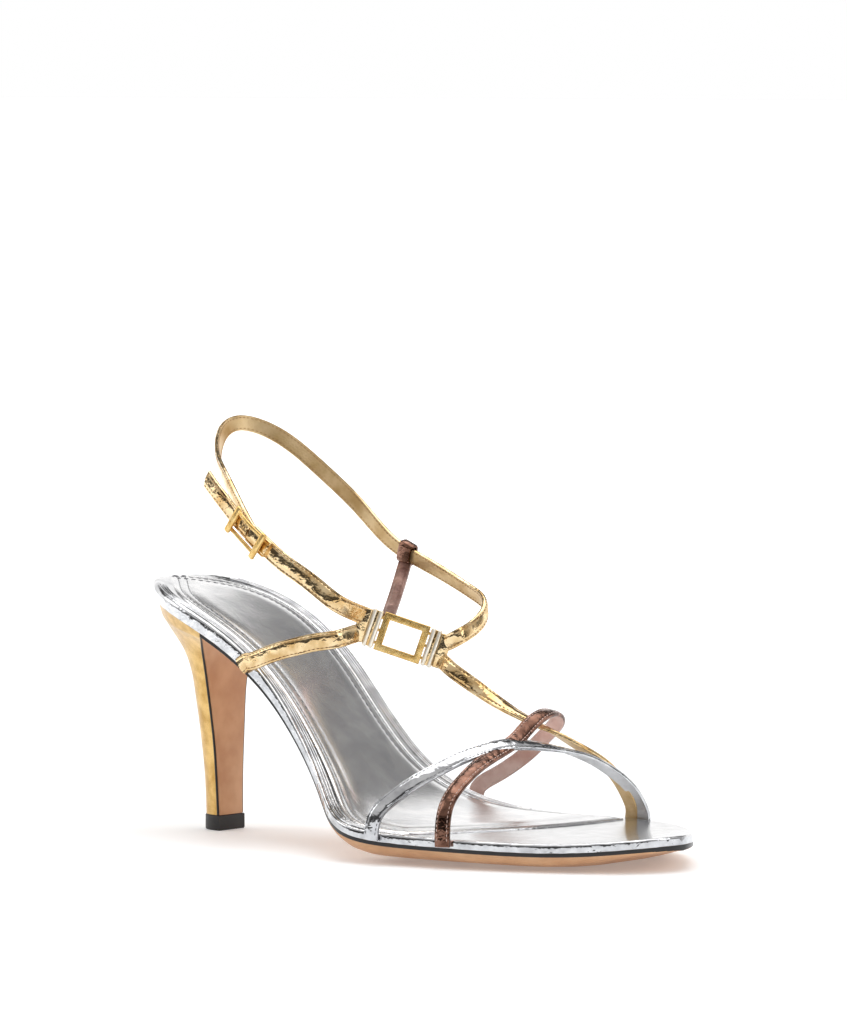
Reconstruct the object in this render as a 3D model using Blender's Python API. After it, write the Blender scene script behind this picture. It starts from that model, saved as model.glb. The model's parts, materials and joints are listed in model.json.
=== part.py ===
"""Strappy high-heeled sandal, right foot, at its real size.

Metres, +Z up, toe towards +X, the inner (medial) side of the foot towards +Y.
The pieces are worked out from a few sizes of the last: its length, ball width, heel rise
and instep rise. A section table gives the outline and the height of the foot bed, and
each strap follows a short route that is written in shares of those sizes.
"""

import math

import bmesh
import bpy
import numpy as np
from mathutils import Matrix, Vector

# Driving sizes of the last
LENGTH = 0.200
BALL_WIDTH = 0.0785
HEEL_RISE = 0.0673
INSTEP_RISE = 0.050

# Foot bed, sock and sole
BOARD_BALL_EDGE = 0.0024
BOARD_SEAT_EDGE = 0.0044
SEAT_DISH = 0.0012
SOCK_INSET = 0.0042
SOCK_THICKNESS = 0.0011
SOLE_EDGE = 0.0011
SOLE_BALL = 0.0056
SOLE_SHANK = 0.0015
SOLE_INSET = 0.0004
TREAD_CUT = 0.0025
TREAD_BLEND = 0.0012
FLAP_THICKNESS = 0.0010

# Heel
SEAT_DEPTH = 0.0377
SEAT_HALF_WIDTH = 0.0244
TOP_PIECE_HEIGHT = 0.0046
TOP_PIECE_LIP = 0.00025

# Straps
STRAP_THICKNESS = 0.0015
SILVER_WIDTH = 0.0046
BRONZE_WIDTH = 0.0048
GOLD_WIDTH = 0.0046
SIDE_WIDTH = 0.0054
SLING_WIDTH = 0.0048
KEEPER_WIDTH = 0.0042
TAB_LENGTH = 0.0012
TAIL_TAB = 0.0070
KEEPER_TAB = 0.0030
FOLD_LENGTH = 0.0080
RING_STEP = 0.0042

# Over how long a way each strap turns from its tab's facing to its own
GOLD_TURN = 0.030
SLING_TURN = 0.020
SIDE_TURN = 0.015
TAIL_TURN = 0.5

# Hardware
LINK_LENGTH = 0.0142
LINK_WIDTH = 0.0118
LINK_BAR = 0.0021
LINK_THICKNESS = 0.0018
CLAMP_WIDTH = 0.0015
CLAMP_GAP = 0.0004
CLAMP_PIN = 0.0009
CLAMP_THICKNESS = 0.0022
BUCKLE_SPAN = 0.0128
BUCKLE_REACH = 0.0092
BUCKLE_BAR = 0.0021
BUCKLE_RAIL = 0.0012
BUCKLE_THICKNESS = 0.0013
RAIL_THICKNESS = 0.0010
SLEEVE_LENGTH = 0.0048
SLEEVE_WALL = 0.0009

# What curved pieces leave between them
GAP = 0.0003
LANDING_GAP = 0.0005
TAB_GAP = 0.0006

# How high a folded strap's second layer lies: it sinks a little into the first
LAYER_LIFT = 0.9 * STRAP_THICKNESS

# Last sections from heel to toe: lateral and medial half widths as shares of the ball
# width, height of the foot bed's rim as a share of the heel rise.
SECTION_COLUMNS = ("along", "lateral", "medial", "height")
SECTIONS = (
    (0.00, 0.000, 0.000, 1.000),
    (0.03, 0.115, 0.163, 1.012),
    (0.10, 0.274, 0.282, 0.970),
    (0.20, 0.320, 0.307, 0.851),
    (0.32, 0.306, 0.270, 0.599),
    (0.44, 0.383, 0.288, 0.224),
    (0.54, 0.547, 0.382, 0.055),
    (0.63, 0.531, 0.464, 0.013),
    (0.72, 0.485, 0.520, 0.006),
    (0.82, 0.406, 0.511, 0.000),
    (0.91, 0.295, 0.352, 0.006),
    (0.97, 0.178, 0.165, 0.022),
    (1.00, 0.000, 0.000, 0.031),
)

# How far the middle line leaves the straight axis, at the heel and at the toe.
HEEL_SWING = -0.0023
TOE_SWING = 0.0021
HEEL_SWING_END = 0.30
TOE_SWING_START = 0.60

# The sole's underside from its edge to the tread, in columns: across as a share of the
# half width, rise above the tread as a share of the depth below the painted edge.
UNDERSIDE = (
    (1.00, 1.00),
    (0.98, 0.74),
    (0.93, 0.50),
    (0.85, 0.32),
    (0.72, 0.19),
    (0.50, 0.06),
    (0.30, 0.00),
)

# Heel sections from the seat down, in columns: drop as a share of the heel's height,
# slope as a share of the seat's, back and breast as shares of the seat depth, and the
# half width as a share of the seat's.
HEEL_SECTIONS = (
    (0.000, 1.00, 0.008, 1.000, 1.000),
    (0.045, 0.81, 0.080, 0.862, 0.752),
    (0.100, 0.57, 0.190, 0.764, 0.570),
    (0.170, 0.36, 0.316, 0.711, 0.447),
    (0.260, 0.10, 0.400, 0.698, 0.382),
    (0.370, 0.00, 0.430, 0.700, 0.337),
    (0.510, 0.00, 0.460, 0.711, 0.297),
    (0.650, 0.00, 0.485, 0.719, 0.264),
    (0.810, 0.00, 0.510, 0.724, 0.240),
    (1.000, 0.00, 0.520, 0.732, 0.224),
)

# Strap routes, in the columns along, across, up and ankle. Along is a share of the length.
# Across is a share of the half width on that side, -1 on the lateral rim and +1 on the
# medial rim. Up is a share of the instep rise above the rim, or where it is negative a
# share of the rim's own thickness below it. Ankle says how much the strap faces away
# from the ankle, and not from the foot.
SILVER_ROUTE = (
    (0.606, -1.00, -0.92, 0.0),
    (0.608, -1.00, 0.020, 0.0),
    (0.613, -0.99, 0.105, 0.0),
    (0.621, -0.95, 0.168, 0.0),
    (0.645, -0.85, 0.278, 0.0),
    (0.666, -0.71, 0.363, 0.0),
    (0.684, -0.54, 0.434, 0.0),
    (0.698, -0.33, 0.479, 0.0),
    (0.710, -0.11, 0.496, 0.0),
    (0.725, 0.19, 0.465, 0.0),
    (0.742, 0.47, 0.402, 0.0),
    (0.752, 0.67, 0.321, 0.0),
    (0.762, 0.84, 0.217, 0.0),
    (0.765, 0.95, 0.113, 0.0),
    (0.767, 1.00, 0.020, 0.0),
    (0.768, 1.00, -0.92, 0.0),
)
BRONZE_ROUTE = (
    (0.721, -1.00, -0.92, 0.0),
    (0.721, -1.00, 0.050, 0.0),
    (0.720, -0.95, 0.190, 0.0),
    (0.718, -0.77, 0.312, 0.0),
    (0.713, -0.51, 0.405, 0.0),
    (0.709, -0.26, 0.464, 0.0),
    (0.705, -0.03, 0.523, 0.0),
    (0.699, 0.14, 0.587, 0.0),
    (0.696, 0.31, 0.640, 0.0),
    (0.687, 0.50, 0.639, 0.0),
    (0.672, 0.65, 0.581, 0.0),
    (0.631, 0.81, 0.469, 0.0),
    (0.595, 0.91, 0.352, 0.0),
    (0.563, 0.96, 0.240, 0.0),
    (0.534, 0.99, 0.136, 0.0),
    (0.510, 1.00, 0.030, 0.0),
    (0.505, 1.00, -0.90, 0.0),
)
GOLD_ROUTE = (
    (0.558, 0.11, 0.849, 0.90),
    (0.584, 0.19, 0.784, 0.90),
    (0.612, 0.25, 0.717, 0.85),
    (0.642, 0.31, 0.647, 0.80),
    (0.674, 0.36, 0.584, 0.70),
    (0.703, 0.42, 0.524, 0.40),
    (0.727, 0.49, 0.461, 0.20),
    (0.741, 0.63, 0.379, 0.00),
    (0.747, 0.77, 0.289, 0.00),
    (0.750, 0.88, 0.184, 0.00),
    (0.750, 0.96, 0.089, 0.00),
    (0.747, 1.00, 0.026, 0.00),
    (0.744, 1.00, -0.92, 0.00),
)
SLING_ROUTE = (
    (0.559, 0.21, 1.029, 1.0),
    (0.561, 0.40, 1.075, 1.0),
    (0.559, 0.57, 1.133, 1.0),
    (0.543, 0.75, 1.188, 1.0),
    (0.503, 0.96, 1.187, 1.0),
    (0.452, 1.18, 1.132, 1.0),
    (0.388, 1.36, 0.972, 1.0),
    (0.328, 1.37, 0.819, 1.0),
    (0.264, 1.29, 0.802, 1.0),
    (0.204, 1.20, 0.834, 1.0),
    (0.142, 1.13, 0.905, 1.0),
    (0.104, 1.04, 0.948, 1.0),
    (0.083, 0.85, 0.957, 1.0),
    (0.083, 0.55, 0.928, 1.0),
    (0.107, 0.13, 0.885, 1.0),
    (0.147, -0.25, 0.850, 1.0),
    (0.201, -0.58, 0.840, 1.0),
    (0.255, -0.87, 0.824, 1.0),
)
BUCKLE_ROUTE = (
    (0.440, -0.61, 0.984, 1.0),
    (0.416, -0.78, 0.980, 1.0),
    (0.387, -0.92, 0.943, 1.0),
    (0.357, -1.05, 0.895, 1.0),
)
TAIL_ROUTE = (
    (0.259, -1.15, 0.866, 1.0),
    (0.236, -1.12, 0.887, 1.0),
    (0.221, -1.09, 0.904, 1.0),
)
WAIST_ROUTE = (
    (0.430, -0.58, 0.740, 1.0),
    (0.406, -0.75, 0.625, 1.0),
    (0.374, -0.92, 0.452, 1.0),
    (0.331, -1.01, 0.214, 1.0),
    (0.293, -1.02, 0.020, 1.0),
    (0.284, -1.00, -0.15, 1.0),
    (0.272, -1.00, -0.92, 1.0),
)

# Where the sling and the side strap meet in the buckle, and the way from sling to strap.
BUCKLE_AT = (0.308, -1.108, 0.845)
BUCKLE_RUN = (0.81, -0.08, -0.58)

# How far along the sling its keeper sits, as a share of the sling's run.
KEEPER_SHARE = 0.315

# The ankle's upright axis, which the loop of straps faces away from.
ANKLE_ALONG = 0.30
ANKLE_ACROSS = 0.002
FOOT_CORE_RISE = 0.006

# The link's middle and the way that it faces.
LINK_AT = (0.485, -0.03, 0.905)
LINK_RUN = (0.751, 0.578, -0.318)
LINK_DROP = (-0.235, -0.252, -0.940)

STATION_COUNT = 48
TOP_COUNT = 7
HEEL_RINGS = 22
HEEL_SIDES = 14

# Colour, metallic and roughness of each material
MATERIALS = {
    "silver_foil_leather": ((0.62, 0.63, 0.64), 0.9, 0.22),
    "silver_satin_leather": ((0.52, 0.52, 0.53), 0.7, 0.38),
    "gold_foil_leather": ((0.72, 0.50, 0.22), 0.9, 0.25),
    "bronze_foil_leather": ((0.30, 0.17, 0.13), 0.9, 0.28),
    "tan_sole_leather": ((0.58, 0.33, 0.17), 0.0, 0.5),
    "black_rubber": ((0.012, 0.012, 0.013), 0.0, 0.55),
    "gold_plated_brass": ((0.83, 0.57, 0.20), 1.0, 0.18),
}


def clear_scene():
    for obj in list(bpy.data.objects):
        bpy.data.objects.remove(obj)


def natural_spline(knots, values):
    """A smooth curve through the values, as a function of the knots' coordinate."""
    x = np.asarray(knots, float)
    y = np.asarray(values, float).reshape(len(x), -1)
    step = np.diff(x)
    count = len(x)
    system = np.eye(count)
    right = np.zeros_like(y)
    for i in range(1, count - 1):
        system[i, i - 1] = step[i - 1]
        system[i, i] = 2 * (step[i - 1] + step[i])
        system[i, i + 1] = step[i]
        right[i] = 6 * ((y[i + 1] - y[i]) / step[i] - (y[i] - y[i - 1]) / step[i - 1])
    bend = np.linalg.solve(system, right)

    def at(t):
        i = int(np.clip(np.searchsorted(x, t) - 1, 0, count - 2))
        h = step[i]
        a = (x[i + 1] - t) / h
        b = (t - x[i]) / h
        cubic = ((a**3 - a) * bend[i] + (b**3 - b) * bend[i + 1]) * h * h / 6
        return a * y[i] + b * y[i + 1] + cubic

    return at


def smooth_step(value, start, end):
    t = min(max((value - start) / (end - start), 0.0), 1.0)
    return t * t * (3 - 2 * t)


def mix(a, b, t):
    return a + (b - a) * t


def column(table, columns, name):
    place = columns.index(name)
    return [row[place] for row in table]


def round_share(along):
    """An angle that makes a half width of zero at both ends close as a round end."""
    return math.acos(1 - 2 * min(max(along, 0.0), 1.0))


SHARES = column(SECTIONS, SECTION_COLUMNS, "along")
ANGLES = [round_share(share) for share in SHARES]
LATERAL = natural_spline(ANGLES, column(SECTIONS, SECTION_COLUMNS, "lateral"))
MEDIAL = natural_spline(ANGLES, column(SECTIONS, SECTION_COLUMNS, "medial"))
HEIGHT = natural_spline(SHARES, column(SECTIONS, SECTION_COLUMNS, "height"))
BALL_STACK = SOLE_BALL + GAP + BOARD_BALL_EDGE


def swing(along):
    heel = max(0.0, (HEEL_SWING_END - along) / HEEL_SWING_END)
    toe = max(0.0, (along - TOE_SWING_START) / (1 - TOE_SWING_START))
    return HEEL_SWING * heel**2 + TOE_SWING * toe**2


def half_widths(along):
    angle = round_share(along)
    return float(LATERAL(angle)[0]) * BALL_WIDTH, float(MEDIAL(angle)[0]) * BALL_WIDTH


def rim_height(along):
    return BALL_STACK + float(HEIGHT(along)[0]) * HEEL_RISE


def board_edge(along):
    return mix(BOARD_SEAT_EDGE, BOARD_BALL_EDGE, smooth_step(along, 0.24, 0.52))


def seat_dish(along):
    """The heel seat is hollowed a little, and the hollow runs out along the arch."""
    return SEAT_DISH * smooth_step(along, 0.0, 0.08) * (1 - smooth_step(along, 0.25, 0.6))


def sole_thickness(along):
    ball = mix(SOLE_SHANK, SOLE_BALL + TREAD_CUT, smooth_step(along, 0.43, 0.60))
    return mix(ball, SOLE_EDGE + 2 * GAP, smooth_step(along, 0.84, 1.0))


def sole_top(along):
    return rim_height(along) - board_edge(along) - GAP


def sole_bottom(along):
    """The underside, run out flat where the ball of the foot presses on the floor."""
    free = sole_top(along) - sole_thickness(along)
    if abs(free) >= TREAD_BLEND:
        return max(0.0, free)
    return (free + TREAD_BLEND) ** 2 / (4 * TREAD_BLEND)


def round_stations(start, end, count):
    """Shares of the length, closer together towards the two round ends."""
    first = round_share(start)
    last = round_share(end)
    return [(1 - math.cos(mix(first, last, i / count))) / 2 for i in range(count + 1)]


def material(name):
    colour, metallic, roughness = MATERIALS[name]
    made = bpy.data.materials.get(name)
    if made is None:
        made = bpy.data.materials.new(name)
        made.use_nodes = True
        shader = made.node_tree.nodes["Principled BSDF"]
        shader.inputs["Base Color"].default_value = (*colour, 1.0)
        shader.inputs["Metallic"].default_value = metallic
        shader.inputs["Roughness"].default_value = roughness
    return made


def add_mesh(name, build, material_name, collection):
    """An object from a bmesh, with its faces pointing out."""
    bmesh.ops.recalc_face_normals(build, faces=build.faces[:])
    if build.calc_volume(signed=True) < 0:
        bmesh.ops.reverse_faces(build, faces=build.faces[:])
    mesh = bpy.data.meshes.new(name)
    build.to_mesh(mesh)
    build.free()
    mesh.shade_smooth()
    mesh.set_sharp_from_angle(angle=math.radians(40))
    mesh.materials.append(material(material_name))
    obj = bpy.data.objects.new(name, mesh)
    collection.objects.link(obj)
    return obj


def loft(rings):
    """A closed body through rings of as many points each, capped at both ends."""
    build = bmesh.new()
    rows = [[build.verts.new(Vector(point)) for point in ring] for ring in rings]
    for near, far in zip(rows, rows[1:]):
        for i in range(len(near)):
            j = (i + 1) % len(near)
            build.faces.new((near[i], near[j], far[j], far[i]))
    build.faces.new(list(reversed(rows[0])))
    build.faces.new(rows[-1])
    return build


def oriented_box(centre, axes, sizes):
    """A box with its sides along three given directions."""
    build = bmesh.new()
    bmesh.ops.create_cube(build, size=1.0)
    frame = Matrix([[axes[c][r] * sizes[c] for c in range(3)] for r in range(3)]).to_4x4()
    frame.translation = Vector(centre)
    build.transform(frame)
    return build


def boolean(base, other, operation):
    """Joins or cuts a mesh and leaves the result as the base's own mesh."""
    step = base.modifiers.new("Boolean", "BOOLEAN")
    step.operation = operation
    step.object = other
    graph = bpy.context.evaluated_depsgraph_get()
    made = bpy.data.meshes.new_from_object(base.evaluated_get(graph))
    base.modifiers.remove(step)
    old = base.data
    base.data = made
    bpy.data.meshes.remove(old)
    bpy.data.objects.remove(other)


def joined(name, builds, material_name, collection):
    """One solid from several overlapping bodies."""
    base = add_mesh(name, builds[0], material_name, collection)
    for build in builds[1:]:
        boolean(base, add_mesh(name + "_part", build, material_name, collection), "UNION")
    base.data.shade_smooth()
    base.data.set_sharp_from_angle(angle=math.radians(40))
    return base


# Foot bed


def board_ring(along):
    lateral, medial = half_widths(along)
    middle = swing(along)
    top = rim_height(along)
    ring = []
    for i in range(TOP_COUNT + 1):
        v = 2 * i / TOP_COUNT - 1
        y = middle + (v * medial if v > 0 else v * lateral)
        ring.append((along * LENGTH, y, top - seat_dish(along) * (1 - v * v)))
    bottom = top - board_edge(along)
    ring.append((along * LENGTH, middle + medial, bottom))
    ring.append((along * LENGTH, middle, bottom))
    ring.append((along * LENGTH, middle - lateral, bottom))
    return ring


def insole_board(collection):
    stations = round_stations(0.0006, 0.9994, STATION_COUNT)
    rings = [board_ring(along) for along in stations]
    return add_mesh("insole_board", loft(rings), "silver_foil_leather", collection)


def sock_front(v):
    """Where the sock ends under the toes: further forward on the medial side."""
    return 0.722 + 0.052 * v - 0.030 * v * v


def sock_half(width):
    return width - SOCK_INSET * (1 - math.exp(-width / SOCK_INSET))


def sock_point(s, v, lift):
    back = SOCK_INSET / LENGTH
    along = mix(back, sock_front(v), s)
    lateral, medial = half_widths((along - back) / (1 - back))
    across = sock_half(medial) * v if v > 0 else sock_half(lateral) * v
    true_lateral, true_medial = half_widths(along)
    share = across / (true_medial if v > 0 else true_lateral)
    z = rim_height(along) - seat_dish(along) * (1 - share * share)
    return (along * LENGTH, swing(along) + across, z + lift)


def sock(collection):
    """The padded cover of the foot bed, thin at its edge and full in the middle."""
    rings = []
    for s in round_stations(0.001, 0.5, STATION_COUNT):
        lanes = [2 * i / TOP_COUNT - 1 for i in range(TOP_COUNT + 1)]
        top = [
            sock_point(2 * s, v, GAP + SOCK_THICKNESS * (1 - 0.6 * v**4)) for v in lanes
        ]
        under = [sock_point(2 * s, v, GAP) for v in reversed(lanes)]
        rings.append(top + under)
    return add_mesh("sock", loft(rings), "silver_satin_leather", collection)


# Sole


def sole_ring(along):
    """Square painted edge above, a rounded underside running in to the tread below."""
    lateral, medial = (max(w - SOLE_INSET, SOLE_INSET) for w in half_widths(along))
    middle = swing(along)
    top = sole_top(along)
    bottom = sole_bottom(along)
    depth = top - bottom - min(SOLE_EDGE, 0.7 * (top - bottom))
    ring = [(along * LENGTH, middle - lateral, top), (along * LENGTH, middle + medial, top)]
    for width in (medial, -lateral):
        half = []
        for across, rise in UNDERSIDE:
            half.append((along * LENGTH, middle + across * width, bottom + rise * depth))
        ring += half if width > 0 else reversed(half)
    return ring


def heel_row(t):
    """The heel's section at a row position: front and back height, back, breast, half."""
    drop, slope, back, breast, half = HEEL_CURVE(t)
    seat_front = rim_height(SEAT_DEPTH / LENGTH) - board_edge(SEAT_DEPTH / LENGTH) - GAP
    seat_back = rim_height(0.0) - board_edge(0.0) - GAP
    low = TOP_PIECE_HEIGHT + GAP
    front = mix(seat_front, low, drop)
    rear = front + (seat_back - seat_front) * max(slope, 0.0)
    return front, rear, back * SEAT_DEPTH, breast * SEAT_DEPTH, half * SEAT_HALF_WIDTH


HEEL_CURVE = natural_spline(
    range(len(HEEL_SECTIONS)), [list(row) for row in HEEL_SECTIONS]
)


def flap_ring(t):
    """A slice of the sole leather that runs on down the heel's breast."""
    front, _, _, breast, half = heel_row(t)
    near = breast + GAP
    far = near + FLAP_THICKNESS
    width = half - SOLE_INSET
    middle = swing(breast / LENGTH)
    return [
        (near, middle - width, front),
        (near, middle + width, front),
        (far, middle + width, front),
        (far, middle - width, front),
    ]


def outsole(collection):
    start = (SEAT_DEPTH + GAP) / LENGTH
    stations = round_stations(start, 0.9994, STATION_COUNT)
    rings = [sole_ring(along) for along in stations]
    last = len(HEEL_SECTIONS) - 1
    flap_top = flap_ring(0.0)
    rise = sole_top(start) - flap_top[0][2] - SOLE_SHANK / 4
    flap = [[(x, y, z + rise) for x, y, z in flap_top]]
    flap += [flap_ring(last * i / HEEL_RINGS) for i in range(1, HEEL_RINGS + 1)]
    builds = [loft(rings), loft(flap)]
    return joined("outsole", builds, "tan_sole_leather", collection)


# Heel


def seat_reach(angle):
    """How far out the seat's outline lies where the heel's round back has an angle."""
    along = max(0.0, SEAT_DEPTH * (1 - math.cos(angle)) / LENGTH)
    lateral, medial = half_widths(along)
    reach = medial if angle > 0 else -lateral
    return (reach + swing(along)) * (1 - SOLE_INSET / SEAT_HALF_WIDTH)


def heel_ring(t, grow=0.0, heights=None):
    """A D, flat at the breast and round behind, that takes the seat's outline on top."""
    front, rear, back, breast, half = heel_row(t)
    seat = 1 - smooth_step(t, 0.0, 1.0)
    outline = 1 - smooth_step(t, 0.0, 3.0)
    middle = swing(SEAT_DEPTH / LENGTH)
    ring = []
    for i in range(HEEL_SIDES + 1):
        angle = math.pi * (i / HEEL_SIDES - 0.5)
        x = breast - (breast - back + grow) * math.cos(angle)
        seated = seat_reach(angle) * half / SEAT_HALF_WIDTH
        y = mix((half + grow) * math.sin(angle) + middle, seated, outline)
        along = max(x / LENGTH, 0.0)
        under = rim_height(along) - board_edge(along) - GAP
        level = mix(front, rear, math.cos(angle))
        ring.append((x, y, mix(level, under, seat) if heights is None else heights))
    return ring


def heel(collection):
    last = len(HEEL_SECTIONS) - 1
    rings = [heel_ring(last * i / HEEL_RINGS) for i in range(HEEL_RINGS + 1)]
    return add_mesh("heel", loft(rings), "gold_foil_leather", collection)


def top_piece(collection):
    last = len(HEEL_SECTIONS) - 1
    rings = [heel_ring(last, TOP_PIECE_LIP, z) for z in (TOP_PIECE_HEIGHT, 0.0)]
    return add_mesh("top_piece", loft(rings), "black_rubber", collection)


# Straps


def route_point(along, across, up):
    lateral, medial = half_widths(along)
    half = medial if across > 0 else lateral
    reach = half + LANDING_GAP + STRAP_THICKNESS / 2
    rim = rim_height(along)
    rise = up * INSTEP_RISE if up > 0 else up * board_edge(along)
    return np.array((along * LENGTH, swing(along) + across * reach, rim + rise))


def unit(vector):
    return vector / np.linalg.norm(vector)


def outline_normal(along, side):
    """The way out of the rim, seen from above, on one side of the foot bed."""
    step = 0.01
    widths = [half_widths(along + d)[0 if side < 0 else 1] for d in (-step, step)]
    slope = (widths[1] - widths[0]) / (2 * step * LENGTH)
    return unit(np.array((-slope, float(side), 0.0)))


def outward(point, across, up, ankle):
    """The way that a strap's face looks at a point of its route."""
    along = point[0] / LENGTH
    core = np.array((point[0], swing(along), rim_height(along) + FOOT_CORE_RISE))
    foot = unit(point - core)
    axis = np.array((ANKLE_ALONG * LENGTH, ANKLE_ACROSS, point[2]))
    facing = unit(mix(foot, unit(point - axis), ankle))
    landed = 1 - smooth_step(up, 0.03, 0.30)
    if landed > 0 and abs(across) > 0.9:
        rim = outline_normal(along, 1 if across > 0 else -1)
        facing = unit(mix(facing, rim, landed))
    return facing


def route_curve(route, tab=(), end=(), turn=0.0):
    """A smooth curve through a route and through the way its strap faces.

    Tab and end are places with their facing, such as where a piece of hardware holds the
    strap. Over the length called turn the strap turns from its tab to its own facing.
    """
    points = [route_point(*row[:3]) for row in route]
    faces = [outward(p, row[1], row[2], row[3]) for p, row in zip(points, route)]
    if turn > 0.0:
        start, facing = tab[-1]
        held = [smooth_step(math.dist(start, p), 0.0, turn) for p in points]
        faces = [unit(mix(facing, own, share)) for own, share in zip(faces, held)]
    points = [place for place, _ in tab] + points + [place for place, _ in end]
    faces = [facing for _, facing in tab] + faces + [facing for _, facing in end]
    spans = [math.sqrt(np.linalg.norm(b - a)) for a, b in zip(points, points[1:])]
    knots = np.concatenate([[0.0], np.cumsum(spans)])
    return natural_spline(knots, points), natural_spline(knots, faces), knots[-1]


def link_axes():
    """The link's middle, with the directions along it, down it and out of it."""
    run = unit(np.array(LINK_RUN))
    drop = np.array(LINK_DROP)
    drop = unit(drop - run * np.dot(run, drop))
    return route_point(*LINK_AT), run, drop, np.cross(drop, run)


def link_tab(end, level, width):
    """Two points where a strap leaves one end of the link, above or below its middle."""
    middle, run, drop, out = link_axes()
    reach = LINK_LENGTH / 2 + 2 * (CLAMP_WIDTH + CLAMP_GAP) + TAB_GAP
    places = []
    for further in (0.0, TAB_LENGTH):
        spread = 0.46 * width + 0.10 * further
        places.append((middle + run * end * (reach + further) + drop * level * spread, out))
    return tuple(places)


def buckle_axes():
    """The buckle's middle, with the directions along its strap, across it and out of it."""
    middle = route_point(*BUCKLE_AT)
    run = unit(np.array(BUCKLE_RUN))
    away = middle - np.array((ANKLE_ALONG * LENGTH, ANKLE_ACROSS, middle[2]))
    out = unit(away - run * np.dot(away, run))
    return middle, run, np.cross(out, run), out


def buckle_end(side):
    """The last two points of a strap that ends under the buckle's middle."""
    middle, run, _, out = buckle_axes()
    return tuple((middle + run * side * reach, out) for reach in (TAB_LENGTH, GAP))


def strap_frames(route, tab=(), end=(), turn=0.0, step=RING_STEP):
    """Points along a strap with the directions along it, out of it and across it."""
    place, face, last = route_curve(route, tab, end, turn)
    fine_count = 400
    fine = [place(last * i / fine_count) for i in range(fine_count + 1)]
    runs = np.cumsum([math.dist(a, b) for a, b in zip(fine, fine[1:])])
    lengths = np.concatenate([[0.0], runs])
    count = max(2, round(lengths[-1] / step))
    small = last / fine_count
    frames = []
    for i in range(count + 1):
        t = float(np.interp(lengths[-1] * i / count, lengths, np.linspace(0, last, len(fine))))
        ahead = unit(place(min(t + small, last)) - place(max(t - small, 0.0)))
        out = face(t)
        out = unit(out - ahead * np.dot(out, ahead))
        frames.append((place(t), ahead, out, np.cross(ahead, out)))
    return frames


def strap_ring(frame, width, thickness=STRAP_THICKNESS):
    """A folded-edge strap in section: flat inside, softly domed outside."""
    place, _, out, side = frame
    outline = (
        (-0.50, -0.30),
        (-0.44, -0.50),
        (0.44, -0.50),
        (0.50, -0.30),
        (0.50, 0.12),
        (0.34, 0.44),
        (0.0, 0.50),
        (-0.34, 0.44),
        (-0.50, 0.12),
    )
    return [place + side * width * a + out * thickness * b for a, b in outline]


def strap(frames, width):
    return loft([strap_ring(frame, width) for frame in frames])


def raised(frame, lift):
    place, ahead, out, side = frame
    return place + out * lift, ahead, out, side


def last_stretch(frames, length):
    """The frames from a strap's end back over a length."""
    run = 0.0
    found = [frames[-1]]
    back = list(reversed(frames))
    for near, far in zip(back, back[1:]):
        run += math.dist(near[0], far[0])
        found.append(far)
        if run > length:
            break
    return found


def second_layer(frames, length, width):
    """A layer that is folded back and laid over a strap's end."""
    folded = [raised(frame, LAYER_LIFT) for frame in last_stretch(frames, length)]
    return loft([strap_ring(frame, width) for frame in folded])


def sling_frames():
    tab = link_tab(1, -1, SLING_WIDTH)
    return strap_frames(SLING_ROUTE, tab, buckle_end(-1), SLING_TURN)


def tail_frames():
    """The sling's free end: it leaves the buckle over the sling, then stands off it."""
    middle, run, _, out = buckle_axes()
    start = middle + out * LAYER_LIFT
    tab = tuple((start - run * reach, out) for reach in (GAP, TAIL_TAB))
    return strap_frames(TAIL_ROUTE, tab, turn=TAIL_TURN)


def upper(collection):
    """Silver, bronze and gold vamp straps with the sling, joined where they cross."""
    gold_tab = link_tab(1, 1, GOLD_WIDTH)
    gold = strap_frames(GOLD_ROUTE, gold_tab, turn=GOLD_TURN)
    builds = [
        strap(strap_frames(SILVER_ROUTE), SILVER_WIDTH),
        strap(strap_frames(BRONZE_ROUTE), BRONZE_WIDTH),
        strap(gold, GOLD_WIDTH),
        strap(sling_frames(), SLING_WIDTH),
        strap(tail_frames(), SLING_WIDTH),
    ]
    return joined("upper", builds, "gold_foil_leather", collection)


def side_strap(collection):
    """From the link to the waist and to the buckle, where it is folded back double."""
    upper_tab, lower_tab = [link_tab(-1, level, SIDE_WIDTH) for level in (-1, 1)]
    arm = strap_frames(BUCKLE_ROUTE, upper_tab, buckle_end(1), SIDE_TURN)
    waist = strap_frames(WAIST_ROUTE, lower_tab, turn=SIDE_TURN)
    builds = [
        strap(arm, SIDE_WIDTH),
        strap(waist, SIDE_WIDTH),
        second_layer(arm, FOLD_LENGTH, SIDE_WIDTH),
    ]
    return joined("side_strap", builds, "gold_foil_leather", collection)


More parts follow.
